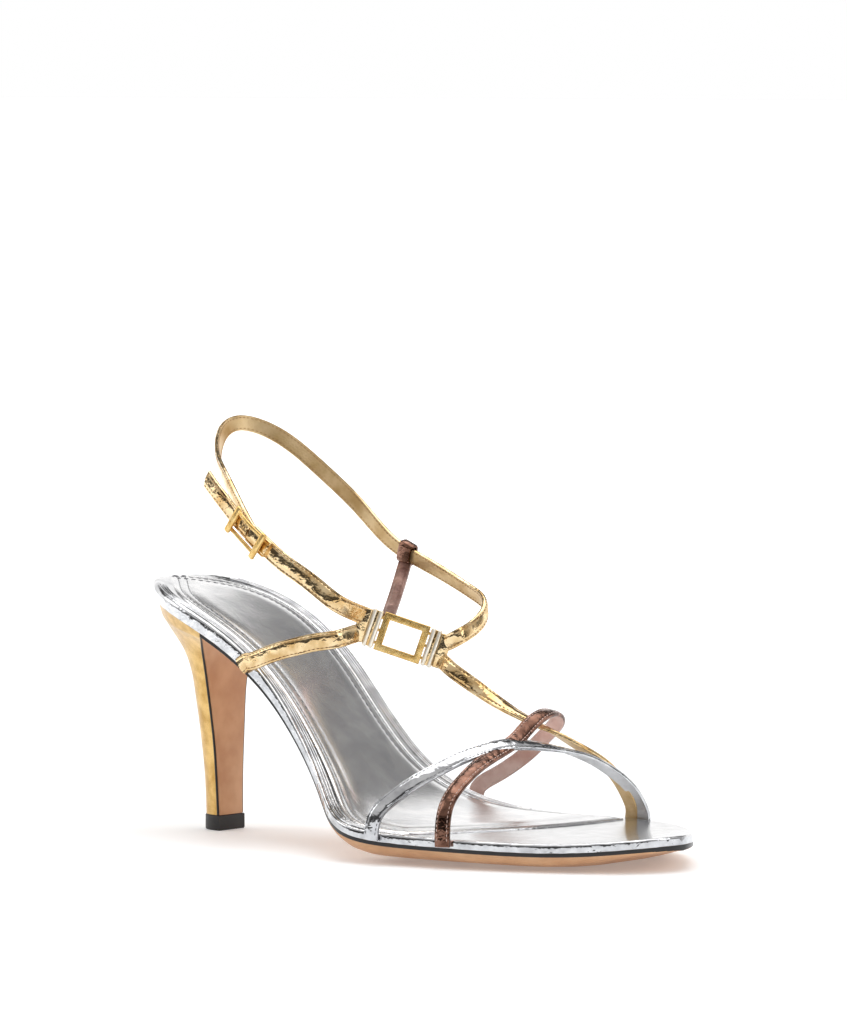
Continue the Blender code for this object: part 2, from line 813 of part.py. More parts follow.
def keeper_strap(collection):
    """A narrow strap from behind the link, with a sleeve that holds the inner sling."""
    sling = sling_frames()
    centre, ahead, out, side = sling[round(KEEPER_SHARE * (len(sling) - 1))]
    under = side if side[2] < 0 else -side
    hold = SLING_WIDTH / 2 + GAP + SLEEVE_WALL / 2
    end = tuple((centre + under * reach, -out) for reach in (hold + KEEPER_TAB, hold))
    middle, run, drop, face = link_axes()
    corner = middle - run * (LINK_LENGTH / 2 + CLAMP_GAP + CLAMP_WIDTH)
    rise = LINK_WIDTH / 2 + TAB_GAP
    tab = tuple((corner - drop * reach, face) for reach in (rise, rise + KEEPER_TAB / 2))
    frames = strap_frames((), tab, end)
    axes = (ahead, side, out)
    inner = (2 * SLEEVE_LENGTH, SLING_WIDTH + 2 * GAP, STRAP_THICKNESS + 2 * GAP)
    walls = (SLEEVE_LENGTH, inner[1] + 2 * SLEEVE_WALL, inner[2] + 2 * SLEEVE_WALL)
    leather = "bronze_foil_leather"
    body = add_mesh("keeper_strap", oriented_box(centre, axes, walls), leather, collection)
    hole = add_mesh("hole", oriented_box(centre, axes, inner), leather, collection)
    boolean(body, hole, "DIFFERENCE")
    boolean(body, add_mesh("strap", strap(frames, KEEPER_WIDTH), leather, collection), "UNION")
    return body


# Hardware


def link(collection):
    """A plain open link with two clamp bars at each end, which hold the strap tabs."""
    middle, run, drop, out = link_axes()
    axes = (run, drop, out)
    body = joined(
        "link",
        [oriented_box(middle, axes, (LINK_LENGTH, LINK_WIDTH, LINK_THICKNESS))],
        "gold_plated_brass",
        collection,
    )
    opening = (LINK_LENGTH - 2 * LINK_BAR, LINK_WIDTH - 2 * LINK_BAR, 2 * LINK_THICKNESS)
    window = oriented_box(middle, axes, opening)
    boolean(body, add_mesh("link_window", window, "gold_plated_brass", collection), "DIFFERENCE")
    reach = LINK_LENGTH / 2
    for side in (-1, 1):
        for k in range(2):
            at = reach + (k + 0.5) * CLAMP_WIDTH + (k + 1) * CLAMP_GAP
            bar = oriented_box(
                middle + run * side * at, axes, (CLAMP_WIDTH, LINK_WIDTH, CLAMP_THICKNESS)
            )
            boolean(body, add_mesh("bar", bar, "gold_plated_brass", collection), "UNION")
        length = 2 * (CLAMP_WIDTH + CLAMP_GAP)
        for end in (-1, 0, 1):
            pin = oriented_box(
                middle + run * side * (reach + length / 2 - CLAMP_WIDTH / 2)
                + drop * end * (LINK_WIDTH / 2 - LINK_BAR),
                axes,
                (length, CLAMP_PIN, CLAMP_PIN),
            )
            boolean(body, add_mesh("pin", pin, "gold_plated_brass", collection), "UNION")
    return body


def buckle(collection):
    """Two bars over the straps, with a rail beside each strap edge. It has no tongue."""
    middle, run, across, out = buckle_axes()
    axes = (run, across, out)
    lift = LAYER_LIFT + STRAP_THICKNESS / 2 + GAP + BUCKLE_THICKNESS / 2
    centre = middle + out * lift
    bar = (BUCKLE_BAR, BUCKLE_REACH, BUCKLE_THICKNESS)
    rail = (BUCKLE_SPAN, BUCKLE_RAIL, RAIL_THICKNESS)
    reach = max(SLING_WIDTH, SIDE_WIDTH) / 2 + GAP + BUCKLE_RAIL / 2
    builds = [oriented_box(centre + run * BUCKLE_SPAN * s, axes, bar) for s in (-0.5, 0.5)]
    builds += [oriented_box(centre + across * reach * s, axes, rail) for s in (-1, 1)]
    first, *others = builds
    ordered = [first, others[1], others[0], others[2]]
    return joined("buckle", ordered, "gold_plated_brass", collection)


def stand_on_origin(objects):
    """Moves the whole shoe so that the middle of its box's underside is the origin."""
    points = np.array([v.co for obj in objects for v in obj.data.vertices])
    low = points.min(axis=0)
    middle = (low + points.max(axis=0)) / 2
    shift = Matrix.Translation((-middle[0], -middle[1], -low[2]))
    for obj in objects:
        obj.data.transform(shift)


def main():
    clear_scene()
    collection = bpy.data.collections.new("strappy_sandal")
    bpy.context.scene.collection.children.link(collection)
    insole_board(collection)
    sock(collection)
    outsole(collection)
    heel(collection)
    top_piece(collection)
    upper(collection)
    side_strap(collection)
    keeper_strap(collection)
    link(collection)
    buckle(collection)
    stand_on_origin(list(collection.objects))


main()
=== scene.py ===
# %% [markdown]
# A strappy high-heeled sandal in silver, gold and bronze foil leather
#
# The real shoe is a thin foot bed wrapped in mirror-like silver leather, on a slim heel,
# with narrow foil leather straps over the toes and round the ankle. This script dresses
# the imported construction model. Each step says what a piece is on the real shoe, how it
# could be made in Blender, and why it is made this way here.

# %% Load the construction model
import json
import math

import bmesh
import bpy
import numpy as np
from mathutils import Matrix, Vector, noise

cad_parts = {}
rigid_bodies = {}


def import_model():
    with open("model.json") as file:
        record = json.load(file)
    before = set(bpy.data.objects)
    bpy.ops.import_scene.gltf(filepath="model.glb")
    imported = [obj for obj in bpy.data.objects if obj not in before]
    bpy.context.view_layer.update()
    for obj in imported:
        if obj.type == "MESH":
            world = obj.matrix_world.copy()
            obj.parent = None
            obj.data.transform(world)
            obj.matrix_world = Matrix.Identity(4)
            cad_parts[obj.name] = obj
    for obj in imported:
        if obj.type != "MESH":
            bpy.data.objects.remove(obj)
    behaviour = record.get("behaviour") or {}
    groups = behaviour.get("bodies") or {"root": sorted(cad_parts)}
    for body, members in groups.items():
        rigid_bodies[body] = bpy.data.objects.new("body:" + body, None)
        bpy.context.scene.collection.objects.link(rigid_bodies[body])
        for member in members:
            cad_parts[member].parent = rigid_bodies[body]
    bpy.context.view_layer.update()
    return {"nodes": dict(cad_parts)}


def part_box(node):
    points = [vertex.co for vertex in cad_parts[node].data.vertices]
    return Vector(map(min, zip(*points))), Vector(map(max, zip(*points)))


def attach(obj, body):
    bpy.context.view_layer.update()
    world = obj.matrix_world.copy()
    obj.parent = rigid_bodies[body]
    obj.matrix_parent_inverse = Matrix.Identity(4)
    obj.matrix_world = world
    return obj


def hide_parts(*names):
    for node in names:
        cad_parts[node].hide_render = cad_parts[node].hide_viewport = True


for leftover in list(bpy.data.objects):
    bpy.data.objects.remove(leftover)
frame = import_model()
print("construction nodes:", sorted(frame["nodes"]))

# %% [markdown]
# The last
#
# A shoemaker starts from the last, the foot-shaped form. Its outline and its heights
# could be sculpted, but they follow a few sections, so a smooth curve through a short
# table is exact and easy to change. Every strap is then placed by shares of the last:
# how far along it lies, how far across, and how far above the rim of the foot bed.

# %% Sizes of the last
MM = 0.001
LENGTH = 200 * MM
BALL_WIDTH = 78.5 * MM
HEEL_RISE = 67.3 * MM
INSTEP_RISE = 50 * MM
BALL_STACK = 8.3 * MM
SEAT_DISH = 1.2 * MM
GAP = 0.3 * MM
HEEL_SWING = -2.3 * MM
TOE_SWING = 2.1 * MM
HEEL_EDGE = 4.4 * MM
TOE_EDGE = 2.4 * MM
FIRST_SHARE = 0.0006

# along, lateral and medial half widths as shares of the ball width, height of the rim
SECTIONS = (
    (0.00, 0.000, 0.000, 1.000),
    (0.03, 0.115, 0.163, 1.012),
    (0.10, 0.274, 0.282, 0.970),
    (0.20, 0.320, 0.307, 0.851),
    (0.32, 0.306, 0.270, 0.599),
    (0.44, 0.383, 0.288, 0.224),
    (0.54, 0.547, 0.382, 0.055),
    (0.63, 0.531, 0.464, 0.013),
    (0.72, 0.485, 0.520, 0.006),
    (0.82, 0.406, 0.511, 0.000),
    (0.91, 0.295, 0.352, 0.006),
    (0.97, 0.178, 0.165, 0.022),
    (1.00, 0.000, 0.000, 0.031),
)


def smooth_curve(knots, values):
    """A natural cubic spline through the values, read at one place or at many."""
    x = np.asarray(knots, float)
    y = np.asarray(values, float).reshape(len(x), -1)
    step = np.diff(x)
    system = np.eye(len(x))
    right = np.zeros_like(y)
    for i in range(1, len(x) - 1):
        system[i, i - 1 : i + 2] = step[i - 1], 2 * (step[i - 1] + step[i]), step[i]
        right[i] = 6 * ((y[i + 1] - y[i]) / step[i] - (y[i] - y[i - 1]) / step[i - 1])
    bend = np.linalg.solve(system, right)

    def at(t):
        t = np.atleast_1d(np.asarray(t, float))
        i = np.clip(np.searchsorted(x, t) - 1, 0, len(x) - 2)
        h = step[i][:, None]
        b = (t - x[i])[:, None] / h
        a = 1 - b
        cubic = ((a**3 - a) * bend[i] + (b**3 - b) * bend[i + 1]) * h * h / 6
        return a * y[i] + b * y[i + 1] + cubic

    return at


def smooth_step(value, start, end):
    t = np.clip((np.asarray(value, float) - start) / (end - start), 0.0, 1.0)
    return t * t * (3 - 2 * t)


def mix(a, b, t):
    return a + (b - a) * t


def unit(vectors):
    vectors = np.asarray(vectors, float)
    return vectors / np.linalg.norm(vectors, axis=-1, keepdims=True)


def round_share(along):
    """An angle that lets a half width of zero at both ends close as a round end."""
    return np.arccos(1 - 2 * np.clip(along, 0.0, 1.0))


SECTION_SHARES = np.array(SECTIONS)
WIDTH_CURVE = smooth_curve(round_share(SECTION_SHARES[:, 0]), SECTION_SHARES[:, 1:3])
HEIGHT_CURVE = smooth_curve(SECTION_SHARES[:, 0], SECTION_SHARES[:, 3])


def swing(along):
    """How far the middle line leaves the straight axis, at the heel and at the toe."""
    heel = np.maximum(0.0, (0.30 - np.asarray(along, float)) / 0.30)
    toe = np.maximum(0.0, (np.asarray(along, float) - 0.60) / 0.40)
    return HEEL_SWING * heel**2 + TOE_SWING * toe**2


def half_widths(along):
    widths = WIDTH_CURVE(round_share(along)) * BALL_WIDTH
    return widths[:, 0], widths[:, 1]


def rim_height(along):
    return BALL_STACK + HEIGHT_CURVE(along)[:, 0] * HEEL_RISE


def board_edge(along):
    return mix(HEEL_EDGE, TOE_EDGE, smooth_step(along, 0.24, 0.52))


def seat_dish(along):
    return SEAT_DISH * smooth_step(along, 0.0, 0.08) * (1 - smooth_step(along, 0.25, 0.6))


def round_stations(start, end, count):
    """Shares of the length, closer together towards the two round ends."""
    angles = np.linspace(round_share(start), round_share(end), count)
    return (1 - np.cos(angles)) / 2


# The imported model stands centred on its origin, and the last starts at its heel. The
# packed foot bed begins a hair further on, at its first share of the length.
every_share = np.linspace(0.02, 0.98, 400)
lateral_edge = (swing(every_share) - half_widths(every_share)[0]).min()
packed_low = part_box("insole_board")[0]
SHIFT = np.array((packed_low.x - FIRST_SHARE * LENGTH, packed_low.y - lateral_edge, 0.0))
print("the heel end of the last lies at x =", round(SHIFT[0] / MM, 2), "mm")

# %% [markdown]
# Helpers for meshes
#
# Most pieces here are lofts: the same closed outline, repeated along a path. Curves with
# a bevel object could sweep an outline too, but a loft lets the outline change on the
# way, which folded straps and a tapering heel need. Its patterns are sized in real
# millimetres in the piece's own space, so it needs no UV map.


# %% Lofts and finished meshes
def new_object(name, mesh):
    made = bpy.data.objects.new(name, mesh)
    bpy.context.scene.collection.objects.link(made)
    return made


def finish_mesh(name, build, materials, sharp_angle=40):
    """A smooth-shaded object from a bmesh, with its faces pointing out."""
    bmesh.ops.recalc_face_normals(build, faces=build.faces[:])
    if build.calc_volume(signed=True) < 0:
        bmesh.ops.reverse_faces(build, faces=build.faces[:])
    mesh = bpy.data.meshes.new(name)
    build.to_mesh(mesh)
    build.free()
    mesh.shade_smooth()
    mesh.set_sharp_from_angle(angle=math.radians(sharp_angle))
    for material in materials:
        mesh.materials.append(material)
    return new_object(name, mesh)


def loft(name, rings, materials, zones=None, closed=False, sharp_angle=40):
    """A body through rings of as many points each. Zones give each lane a material."""
    rings = np.asarray(rings, float)
    count, lanes = rings.shape[:2]
    build = bmesh.new()
    verts = [[build.verts.new(point) for point in ring] for ring in rings]
    for i in range(count if closed else count - 1):
        near = verts[i]
        far = verts[(i + 1) % count]
        for j in range(lanes):
            k = (j + 1) % lanes
            face = build.faces.new((near[j], near[k], far[k], far[j]))
            face.material_index = zones[j] if zones is not None else 0
    if not closed:
        build.faces.new(list(reversed(verts[0])))
        build.faces.new(verts[-1])
    return finish_mesh(name, build, materials, sharp_angle)


def rounded_block(build, centre, axes, sizes, bevel):
    """Adds a box with soft edges, its sides along three given directions."""
    made = bmesh.ops.create_cube(build, size=1.0)["verts"]
    turn = Matrix([[axes[c][r] * sizes[c] for c in range(3)] for r in range(3)]).to_4x4()
    turn.translation = Vector(centre)
    bmesh.ops.transform(build, matrix=turn, verts=made)
    edges = list({edge for vert in made for edge in vert.link_edges})
    bmesh.ops.bevel(
        build,
        geom=edges,
        offset=bevel,
        segments=3,
        profile=0.5,
        affect="EDGES",
        clamp_overlap=True,
    )


def crumple(points, scale, seed):
    """Soft random height from -1 to 1 at each point, with folds as large as scale."""
    shift = Vector((seed, -seed, 2 * seed))
    return np.array([noise.noise(Vector(p) / scale + shift) for p in points])


# %% [markdown]
# Helper for node trees
#
# Materials and Geometry Nodes trees are both made of nodes. One small function adds a
# node, sets its properties, and then sets each socket or links it to an output.


# %% One function that adds a node
def add_node(tree, kind, inputs=None, **settings):
    made = tree.nodes.new(kind)
    for name, value in settings.items():
        setattr(made, name, value)
    for name, value in (inputs or {}).items():
        if isinstance(value, bpy.types.NodeSocket):
            tree.links.new(value, made.inputs[name])
        else:
            made.inputs[name].default_value = value
    return made


def linear(hex_colour):
    """An sRGB hex value as linear red, green, blue and alpha."""
    values = [int(hex_colour[i : i + 2], 16) / 255 for i in (1, 3, 5)]
    turned = [v / 12.92 if v <= 0.04045 else ((v + 0.055) / 1.055) ** 2.4 for v in values]
    return (*turned, 1.0)


# %% [markdown]
# Foil leather
#
# Foil leather is kid or calf leather with a metal film pressed on. The film behaves as a
# metal: it mirrors the studio, tinted by its colour. The leather under it creases, so
# the mirror breaks up into bright and dark patches. The creases could be painted as a
# texture, but then they would not move with the light, so they are heights instead:
# large soft dents and fine sharp creases, both sized in real millimetres.


# %% Foil leather materials
def new_material(name, colour, metallic, roughness):
    material = bpy.data.materials.new(name)
    material.use_nodes = True
    tree = material.node_tree
    shader = tree.nodes["Principled BSDF"]
    shader.inputs["Base Color"].default_value = linear(colour)
    shader.inputs["Metallic"].default_value = metallic
    shader.inputs["Roughness"].default_value = roughness
    return material, tree, shader


def add_noise(tree, place, size, detail):
    """A noise texture with patches of a real size."""
    inputs = {"Vector": place, "Scale": 1 / size, "Detail": detail}
    return add_node(tree, "ShaderNodeTexNoise", inputs).outputs


def add_relief(tree, height, depth, strength, below=None):
    """The normal of a bump of a real depth, laid over another bump where one is given."""
    inputs = {"Height": height, "Distance": depth, "Strength": strength}
    if below is not None:
        inputs["Normal"] = below
    return add_node(tree, "ShaderNodeBump", inputs).outputs["Normal"]


def patchy_material(name, dark, light, metallic, roughness, patch, detail=4.0):
    """A material whose colour drifts between two hex values in patches of a real size."""
    material, tree, shader = new_material(name, light, metallic, roughness)
    place = add_node(tree, "ShaderNodeTexCoord").outputs["Object"]
    patches = add_noise(tree, place, patch, detail)
    ramp = add_node(tree, "ShaderNodeValToRGB", {"Fac": patches["Fac"]})
    for stop, position, colour in zip(ramp.color_ramp.elements, (0.35, 0.65), (dark, light)):
        stop.position = position
        stop.color = linear(colour)
    tree.links.new(ramp.outputs["Color"], shader.inputs["Base Color"])
    return material, tree, shader, place


def foil_leather(name, dark, light, crease, depth, dent, dent_depth, roughness, grain):
    """Creases, dents and grain are given by their sizes and depths in millimetres."""
    material, tree, shader, place = patchy_material(name, dark, light, 1.0, roughness, 4 * MM)
    dents = add_noise(tree, place, dent * MM, 2.0)
    pores = add_noise(tree, place, PORE_SIZE, 2.0)
    inputs = {0: dents["Color"], "Scale": 1.2 * crease * MM}
    bent = add_node(tree, "ShaderNodeVectorMath", inputs, operation="SCALE")
    inputs = {0: place, 1: bent.outputs[0]}
    moved = add_node(tree, "ShaderNodeVectorMath", inputs, operation="ADD")
    inputs = {"Vector": moved.outputs[0], "Scale": 1 / (crease * MM)}
    cracks = add_node(tree, "ShaderNodeTexVoronoi", inputs, feature="DISTANCE_TO_EDGE")
    inputs = {"Value": cracks.outputs["Distance"], "From Max": CRACK_SHARE}
    edges = add_node(tree, "ShaderNodeMapRange", inputs)
    soft = add_relief(tree, dents["Fac"], dent_depth * MM, 1.0)
    folded = add_relief(tree, edges.outputs["Result"], depth * MM, 0.8, soft)
    grained = add_relief(tree, pores["Fac"], grain * MM, 0.6, folded)
    tree.links.new(grained, shader.inputs["Normal"])
    return material


PORE_SIZE = 0.7 * MM
CRACK_SHARE = 0.12
# dark and light colour, crease size and depth, dent size and depth, roughness, grain depth
FOILS = (
    ("gold_foil_leather", "#C9A56F", "#EFD6AA", 2.6, 0.022, 2.6, 0.22, 0.14, 0.015),
    ("silver_mirror_leather", "#B8B9BC", "#D9DADC", 3.4, 0.016, 3.4, 0.20, 0.10, 0.010),
    ("silver_smooth_mirror_leather", "#C9CACC", "#D7D8DA", 9, 0.006, 14, 0.10, 0.20, 0.008),
    ("bronze_foil_leather", "#543A2F", "#8A6656", 2.0, 0.025, 2.2, 0.28, 0.15, 0.015),
    ("gold_foil_heel_cover", "#C09755", "#DDB978", 2.2, 0.012, 7, 0.25, 0.27, 0.015),
)
gold_foil, silver_foil, silver_toe, bronze_foil, heel_foil = (foil_leather(*row) for row in FOILS)
print("foil leathers:", len(FOILS))

# %% [markdown]
# Satin linings and the sock
#
# The insides of the straps and the sock are foil leather too, but rolled with a fine
# grain that blurs the mirror to a satin sheen. Roughness does most of it, and a grain of
# about half a millimetre, as real leather pores are, gives the sparkle.


# %% Satin leather materials
def satin_leather(name, dark, light, metallic, roughness, grain, depth):
    """The grain's size and depth are given in millimetres."""
    look = (dark, light, metallic, roughness)
    material, tree, shader, place = patchy_material(name, *look, 7 * MM, 6.0)
    inputs = {"Vector": place, "Scale": 1 / (grain * MM)}
    pebbles = add_node(tree, "ShaderNodeTexVoronoi", inputs, feature="SMOOTH_F1")
    clouds = add_noise(tree, place, 4 * grain * MM, 5.0)
    inputs = {0: pebbles.outputs["Distance"], 1: clouds["Fac"]}
    both = add_node(tree, "ShaderNodeMath", inputs, operation="ADD")
    tree.links.new(add_relief(tree, both.outputs[0], depth * MM, 0.7), shader.inputs["Normal"])
    return material


# dark and light colour, metallic, roughness, grain size and depth
SATINS = (
    ("silver_satin_sock_leather", "#E0E1E3", "#F2F2F3", 0.92, 0.24, 0.55, 0.035),
    ("gold_satin_lining", "#C2A06C", "#E2C698", 0.75, 0.38, 0.6, 0.10),
    ("rose_satin_lining", "#D0A395", "#E8C8BD", 0.6, 0.42, 0.6, 0.10),
    ("bronze_rolled_leather", "#74534A", "#AC887C", 0.6, 0.36, 0.8, 0.14),
    ("silver_satin_lining", "#B4B5B7", "#D2D3D5", 0.9, 0.34, 0.6, 0.08),
)
sock_satin, gold_satin, pink_satin, bronze_satin, silver_satin = (
    satin_leather(*row) for row in SATINS
)
print("satin leathers:", len(SATINS))

# %% [markdown]
# Sole leather, edge paint, rubber, thread and metal
#
# The sole is dyed and buffed vegetable-tanned leather, with no foil, so it is not a
# metal. Its edge is painted black. The heel's top piece is moulded rubber. The link and
# the buckle are gold-plated brass, brushed on their faces. The clamp bars have almost no
# grain, and their near-white colour is a painted highlight.


# %% Materials that are not foil
def matte_material(name, dark, light, roughness, grain, depth):
    """The grain's size and depth are given in millimetres."""
    material, tree, shader, place = patchy_material(name, dark, light, 0.0, roughness, 9 * MM, 5.0)
    pores = add_noise(tree, place, grain * MM, 6.0)
    tree.links.new(add_relief(tree, pores["Fac"], depth * MM, 0.5), shader.inputs["Normal"])
    return material


def brass(name, dark, light, roughness, stretch, depth):
    """Brushed along one direction: the grain is noise stretched by a Mapping node."""
    material, tree, shader, place = patchy_material(name, dark, light, 1.0, roughness, 1.5 * MM)
    drawn = add_node(tree, "ShaderNodeMapping", {"Vector": place, "Scale": stretch})
    lines = add_noise(tree, drawn.outputs["Vector"], BRUSH_SIZE, 4.0)
    tree.links.new(add_relief(tree, lines["Fac"], depth * MM, 0.6), shader.inputs["Normal"])
    return material


BRUSH_SIZE = 0.4 * MM
# dark and light colour, roughness, grain size and depth
MATTES = (
    ("tan_sole_leather", "#C5936A", "#D6A87E", 0.42, 0.5, 0.03),
    ("black_edge_paint", "#0B0A0A", "#1A1817", 0.32, 0.8, 0.02),
    ("black_moulded_rubber", "#161414", "#262323", 0.5, 0.4, 0.03),
    ("silver_thread", "#5E5F63", "#97989C", 0.45, 0.3, 0.02),
    ("gold_thread", "#7A4E22", "#B98A50", 0.45, 0.3, 0.02),
    ("bronze_thread", "#C9A89C", "#E6CCC2", 0.45, 0.3, 0.02),
)
sole_leather, edge_paint, rubber, silver_thread, gold_thread, bronze_thread = (
    matte_material(*row) for row in MATTES
)
brushed_brass = brass("brushed_gold_plated_brass", "#D3AA62", "#EBCB8A", 0.26, (1, 1, 3), 0.05)
# This near-white copy of the brass paints in the clamp bars' bright highlight.
highlight_pale_brass = brass("gold_plated_brass_painted_highlight", "#FAF0DC", "#FFFAF0", 0.38, (1, 1, 1), 0.004)
print("matte materials:", len(MATTES), "and two of brass")

# %% [markdown]
# Geometry Nodes for stitches and piping
#
# Thread shows as a row of short stitches, and piping is a thin cord under leather. Both
# follow a path, so Geometry Nodes make them: one tree sets a small capsule at each step
# of a path, the other sweeps a circle along it. The result is turned into a plain mesh,
# because the exported model can't hold instances.


# %% Two Geometry Nodes trees
def new_tree(name, sizes):
    """A tree with a geometry input, named sizes, a material, and its two end nodes."""
    tree = bpy.data.node_groups.new(name, "GeometryNodeTree")
    tree.is_modifier = True
    face = tree.interface
    face.new_socket("Geometry", in_out="INPUT", socket_type="NodeSocketGeometry")
    for label in sizes:
        face.new_socket(label, in_out="INPUT", socket_type="NodeSocketFloat")
    face.new_socket("Material", in_out="INPUT", socket_type="NodeSocketMaterial")
    face.new_socket("Geometry", in_out="OUTPUT", socket_type="NodeSocketGeometry")
    return tree, add_node(tree, "NodeGroupInput").outputs


def even_steps(tree, curve, length):
    inputs = {"Curve": curve, "Length": length}
    return add_node(tree, "GeometryNodeResampleCurve", inputs, mode="LENGTH").outputs[0]


def close_tree(tree, geometry, material):
    """Ends a tree as the export needs it: realized, smooth and with its material."""
    real = add_node(tree, "GeometryNodeRealizeInstances", {"Geometry": geometry})
    smooth = add_node(tree, "GeometryNodeSetShadeSmooth", {"Geometry": real.outputs[0]})
    inputs = {"Geometry": smooth.outputs[0], "Material": material}
    painted = add_node(tree, "GeometryNodeSetMaterial", inputs)
    add_node(tree, "NodeGroupOutput", {"Geometry": painted.outputs[0]})
    return tree


def stitch_tree():
    tree, given = new_tree("stitches", ("Pitch", "Length", "Thickness"))
    inputs = {"Segments": 6, "Rings": 4, "Radius": 0.5}
    ball = add_node(tree, "GeometryNodeMeshUVSphere", inputs)
    inputs = {"X": given["Thickness"], "Y": given["Thickness"], "Z": given["Length"]}
    size = add_node(tree, "ShaderNodeCombineXYZ", inputs)
    tangent = add_node(tree, "GeometryNodeInputTangent").outputs[0]
    turn = add_node(tree, "FunctionNodeAlignRotationToVector", {"Vector": tangent}, axis="Z")
    inputs = {
        "Points": even_steps(tree, given["Geometry"], given["Pitch"]),
        "Instance": ball.outputs["Mesh"],
        "Rotation": turn.outputs[0],
        "Scale": size.outputs[0],
    }
    placed = add_node(tree, "GeometryNodeInstanceOnPoints", inputs)
    return close_tree(tree, placed.outputs[0], given["Material"])


def piping_tree():
    tree, given = new_tree("piping", ("Step", "Radius"))
    inputs = {"Resolution": 10, "Radius": given["Radius"]}
    outline = add_node(tree, "GeometryNodeCurvePrimitiveCircle", inputs)
    inputs = {
        "Curve": even_steps(tree, given["Geometry"], given["Step"]),
        "Profile Curve": outline.outputs[0],
        "Fill Caps": True,
    }
    swept = add_node(tree, "GeometryNodeCurveToMesh", inputs)
    return close_tree(tree, swept.outputs[0], given["Material"])


STITCHES = stitch_tree()
PIPING = piping_tree()


def along_paths(name, tree, paths, material, **sizes):
    """A plain mesh from a Geometry Nodes tree run over one or more paths."""
    curve = bpy.data.curves.new(name + "_path", "CURVE")
    curve.dimensions = "3D"
    for path in paths:
        spline = curve.splines.new("POLY")
        spline.points.add(len(path) - 1)
        flat = np.column_stack([path, np.ones(len(path))]).ravel()
        spline.points.foreach_set("co", flat)
    guide = new_object(name + "_path", curve)
    step = guide.modifiers.new(name, "NODES")
    step.node_group = tree
    sockets = {s.name: s.identifier for s in tree.interface.items_tree if s.in_out == "INPUT"}
    for label, value in sizes.items():
        step[sockets[label]] = value
    step[sockets["Material"]] = material
    graph = bpy.context.evaluated_depsgraph_get()
    mesh = bpy.data.meshes.new_from_object(guide.evaluated_get(graph))
    guide.modifiers.remove(step)
    bpy.data.objects.remove(guide)
    mesh.name = name
    return new_object(name, mesh)


print("trees:", STITCHES.name, PIPING.name)

# %% [markdown]
# The foot bed
#
# The foot bed is a stiff board wrapped in silver mirror leather, pulled over the edge
# all round. A flat plate with a bevel would lose the seat's hollow and the steep arch,
# so it is a loft: one cross-section for each step from the heel to the toe. Its upper
# edge is round where the leather turns over, and rounder at the padded heel.

# %% Foot bed
TOE_ROUND = 0.8 * MM
HEEL_ROUND = 2.4 * MM
WRINKLE_SIZE = 3.2 * MM
WRINKLE_DEPTH = 0.10 * MM
WRINKLE_BAND = 3.0 * MM
TOE_PATCH_START = 0.60
TOE_PATCH_INSET = 1.2 * MM
WALL_SHARES = (0.35, 0.65, 0.9, 1.0)


def edge_round(along):
    """The radius of the rim's upper edge: soft at the heel and crisp at the toe."""
    return mix(HEEL_ROUND, TOE_ROUND, smooth_step(along, 0.02, 0.30))


def on_shoe(points):
    """Moves points from the last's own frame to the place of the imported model."""
    return np.asarray(points, float) + SHIFT


def bed_height(along, y):
    """The top of the foot bed at places given by their share of the length and by y."""
    lateral, medial = half_widths(along)
    off = y - swing(along)
    share = off / np.maximum(np.where(off > 0, medial, lateral), 0.1 * MM)
    return rim_height(along) - seat_dish(along) * (1 - np.clip(share, -1, 1) ** 2)


def plan_distance(points, line):
    """How far each plan point lies from a polyline."""
    start = line[:-1]
    step = line[1:] - start
    from_start = points[:, None, :] - start[None]
    share = np.clip((from_start * step).sum(-1) / (step * step).sum(-1), 0, 1)
    gap = from_start - share[..., None] * step
    return np.sqrt((gap * gap).sum(-1)).min(1)


def rim_outline(count=220):
    """The rim in plan: from the toe back along the lateral side, then to the toe again."""
    shares = round_stations(0.0, 1.0, count)
    lateral, medial = half_widths(shares)
    near = np.column_stack([shares * LENGTH, swing(shares) - lateral])[::-1]
    far = np.column_stack([shares * LENGTH, swing(shares) + medial])
    return np.vstack([near, far[1:]])


def foot_bed():
    outline = rim_outline()
    shares = round_stations(0.0004, 0.9996, 260)
    lateral, medial = half_widths(shares)
    middle = swing(shares)
    lanes = np.sin(np.linspace(-math.pi / 2, math.pi / 2, 45))
    top = rim_height(shares)
    bottom = top - board_edge(shares) - 0.7 * GAP
    rings = []
    for i, along in enumerate(shares):
        x = along * LENGTH
        widths = np.where(lanes > 0, medial[i], lateral[i])
        corner = float(edge_round(along))
        plan = np.column_stack([np.full(len(lanes), x), middle[i] + lanes * widths])
        inward = corner - np.clip(plan_distance(plan, outline), 0, corner)
        drop = corner - np.sqrt(corner**2 - inward**2)
        z = top[i] - seat_dish(along) * (1 - lanes**2) - drop
        far, near = middle[i] + medial[i], middle[i] - lateral[i]
        down = [(x, far, mix(z[-1], bottom[i], share)) for share in WALL_SHARES]
        up = [(x, near, mix(z[0], bottom[i], share)) for share in reversed(WALL_SHARES)]
        rings.append(np.vstack([np.column_stack([plan, z]), down, [(x, middle[i], bottom[i])], up]))
    return np.array(rings)


bed_rings = foot_bed()
flat = bed_rings.reshape(-1, 3)
off_middle = flat[:, 1] - swing(flat[:, 0] / LENGTH)
lateral, medial = half_widths(flat[:, 0] / LENGTH)
from_rim = np.where(off_middle > 0, medial, lateral) - np.abs(off_middle)
near_rim = smooth_step(from_rim, WRINKLE_BAND, 0.5 * MM)
flat[:, 2] += crumple(flat, WRINKLE_SIZE, 11.0) * WRINKLE_DEPTH * near_rim
foot_bed_piece = loft("foot_bed", on_shoe(bed_rings), [silver_foil, silver_toe])
for face in foot_bed_piece.data.polygons:
    centre = face.center - Vector(SHIFT)
    along = centre.x / LENGTH
    off = centre.y - swing(along)
    inside = half_widths(along)[1 if off > 0 else 0][0] - abs(off) > TOE_PATCH_INSET
    face.material_index = int(along > TOE_PATCH_START and inside and face.normal.z > 0.5)
print("foot bed:", len(foot_bed_piece.data.polygons), "faces")

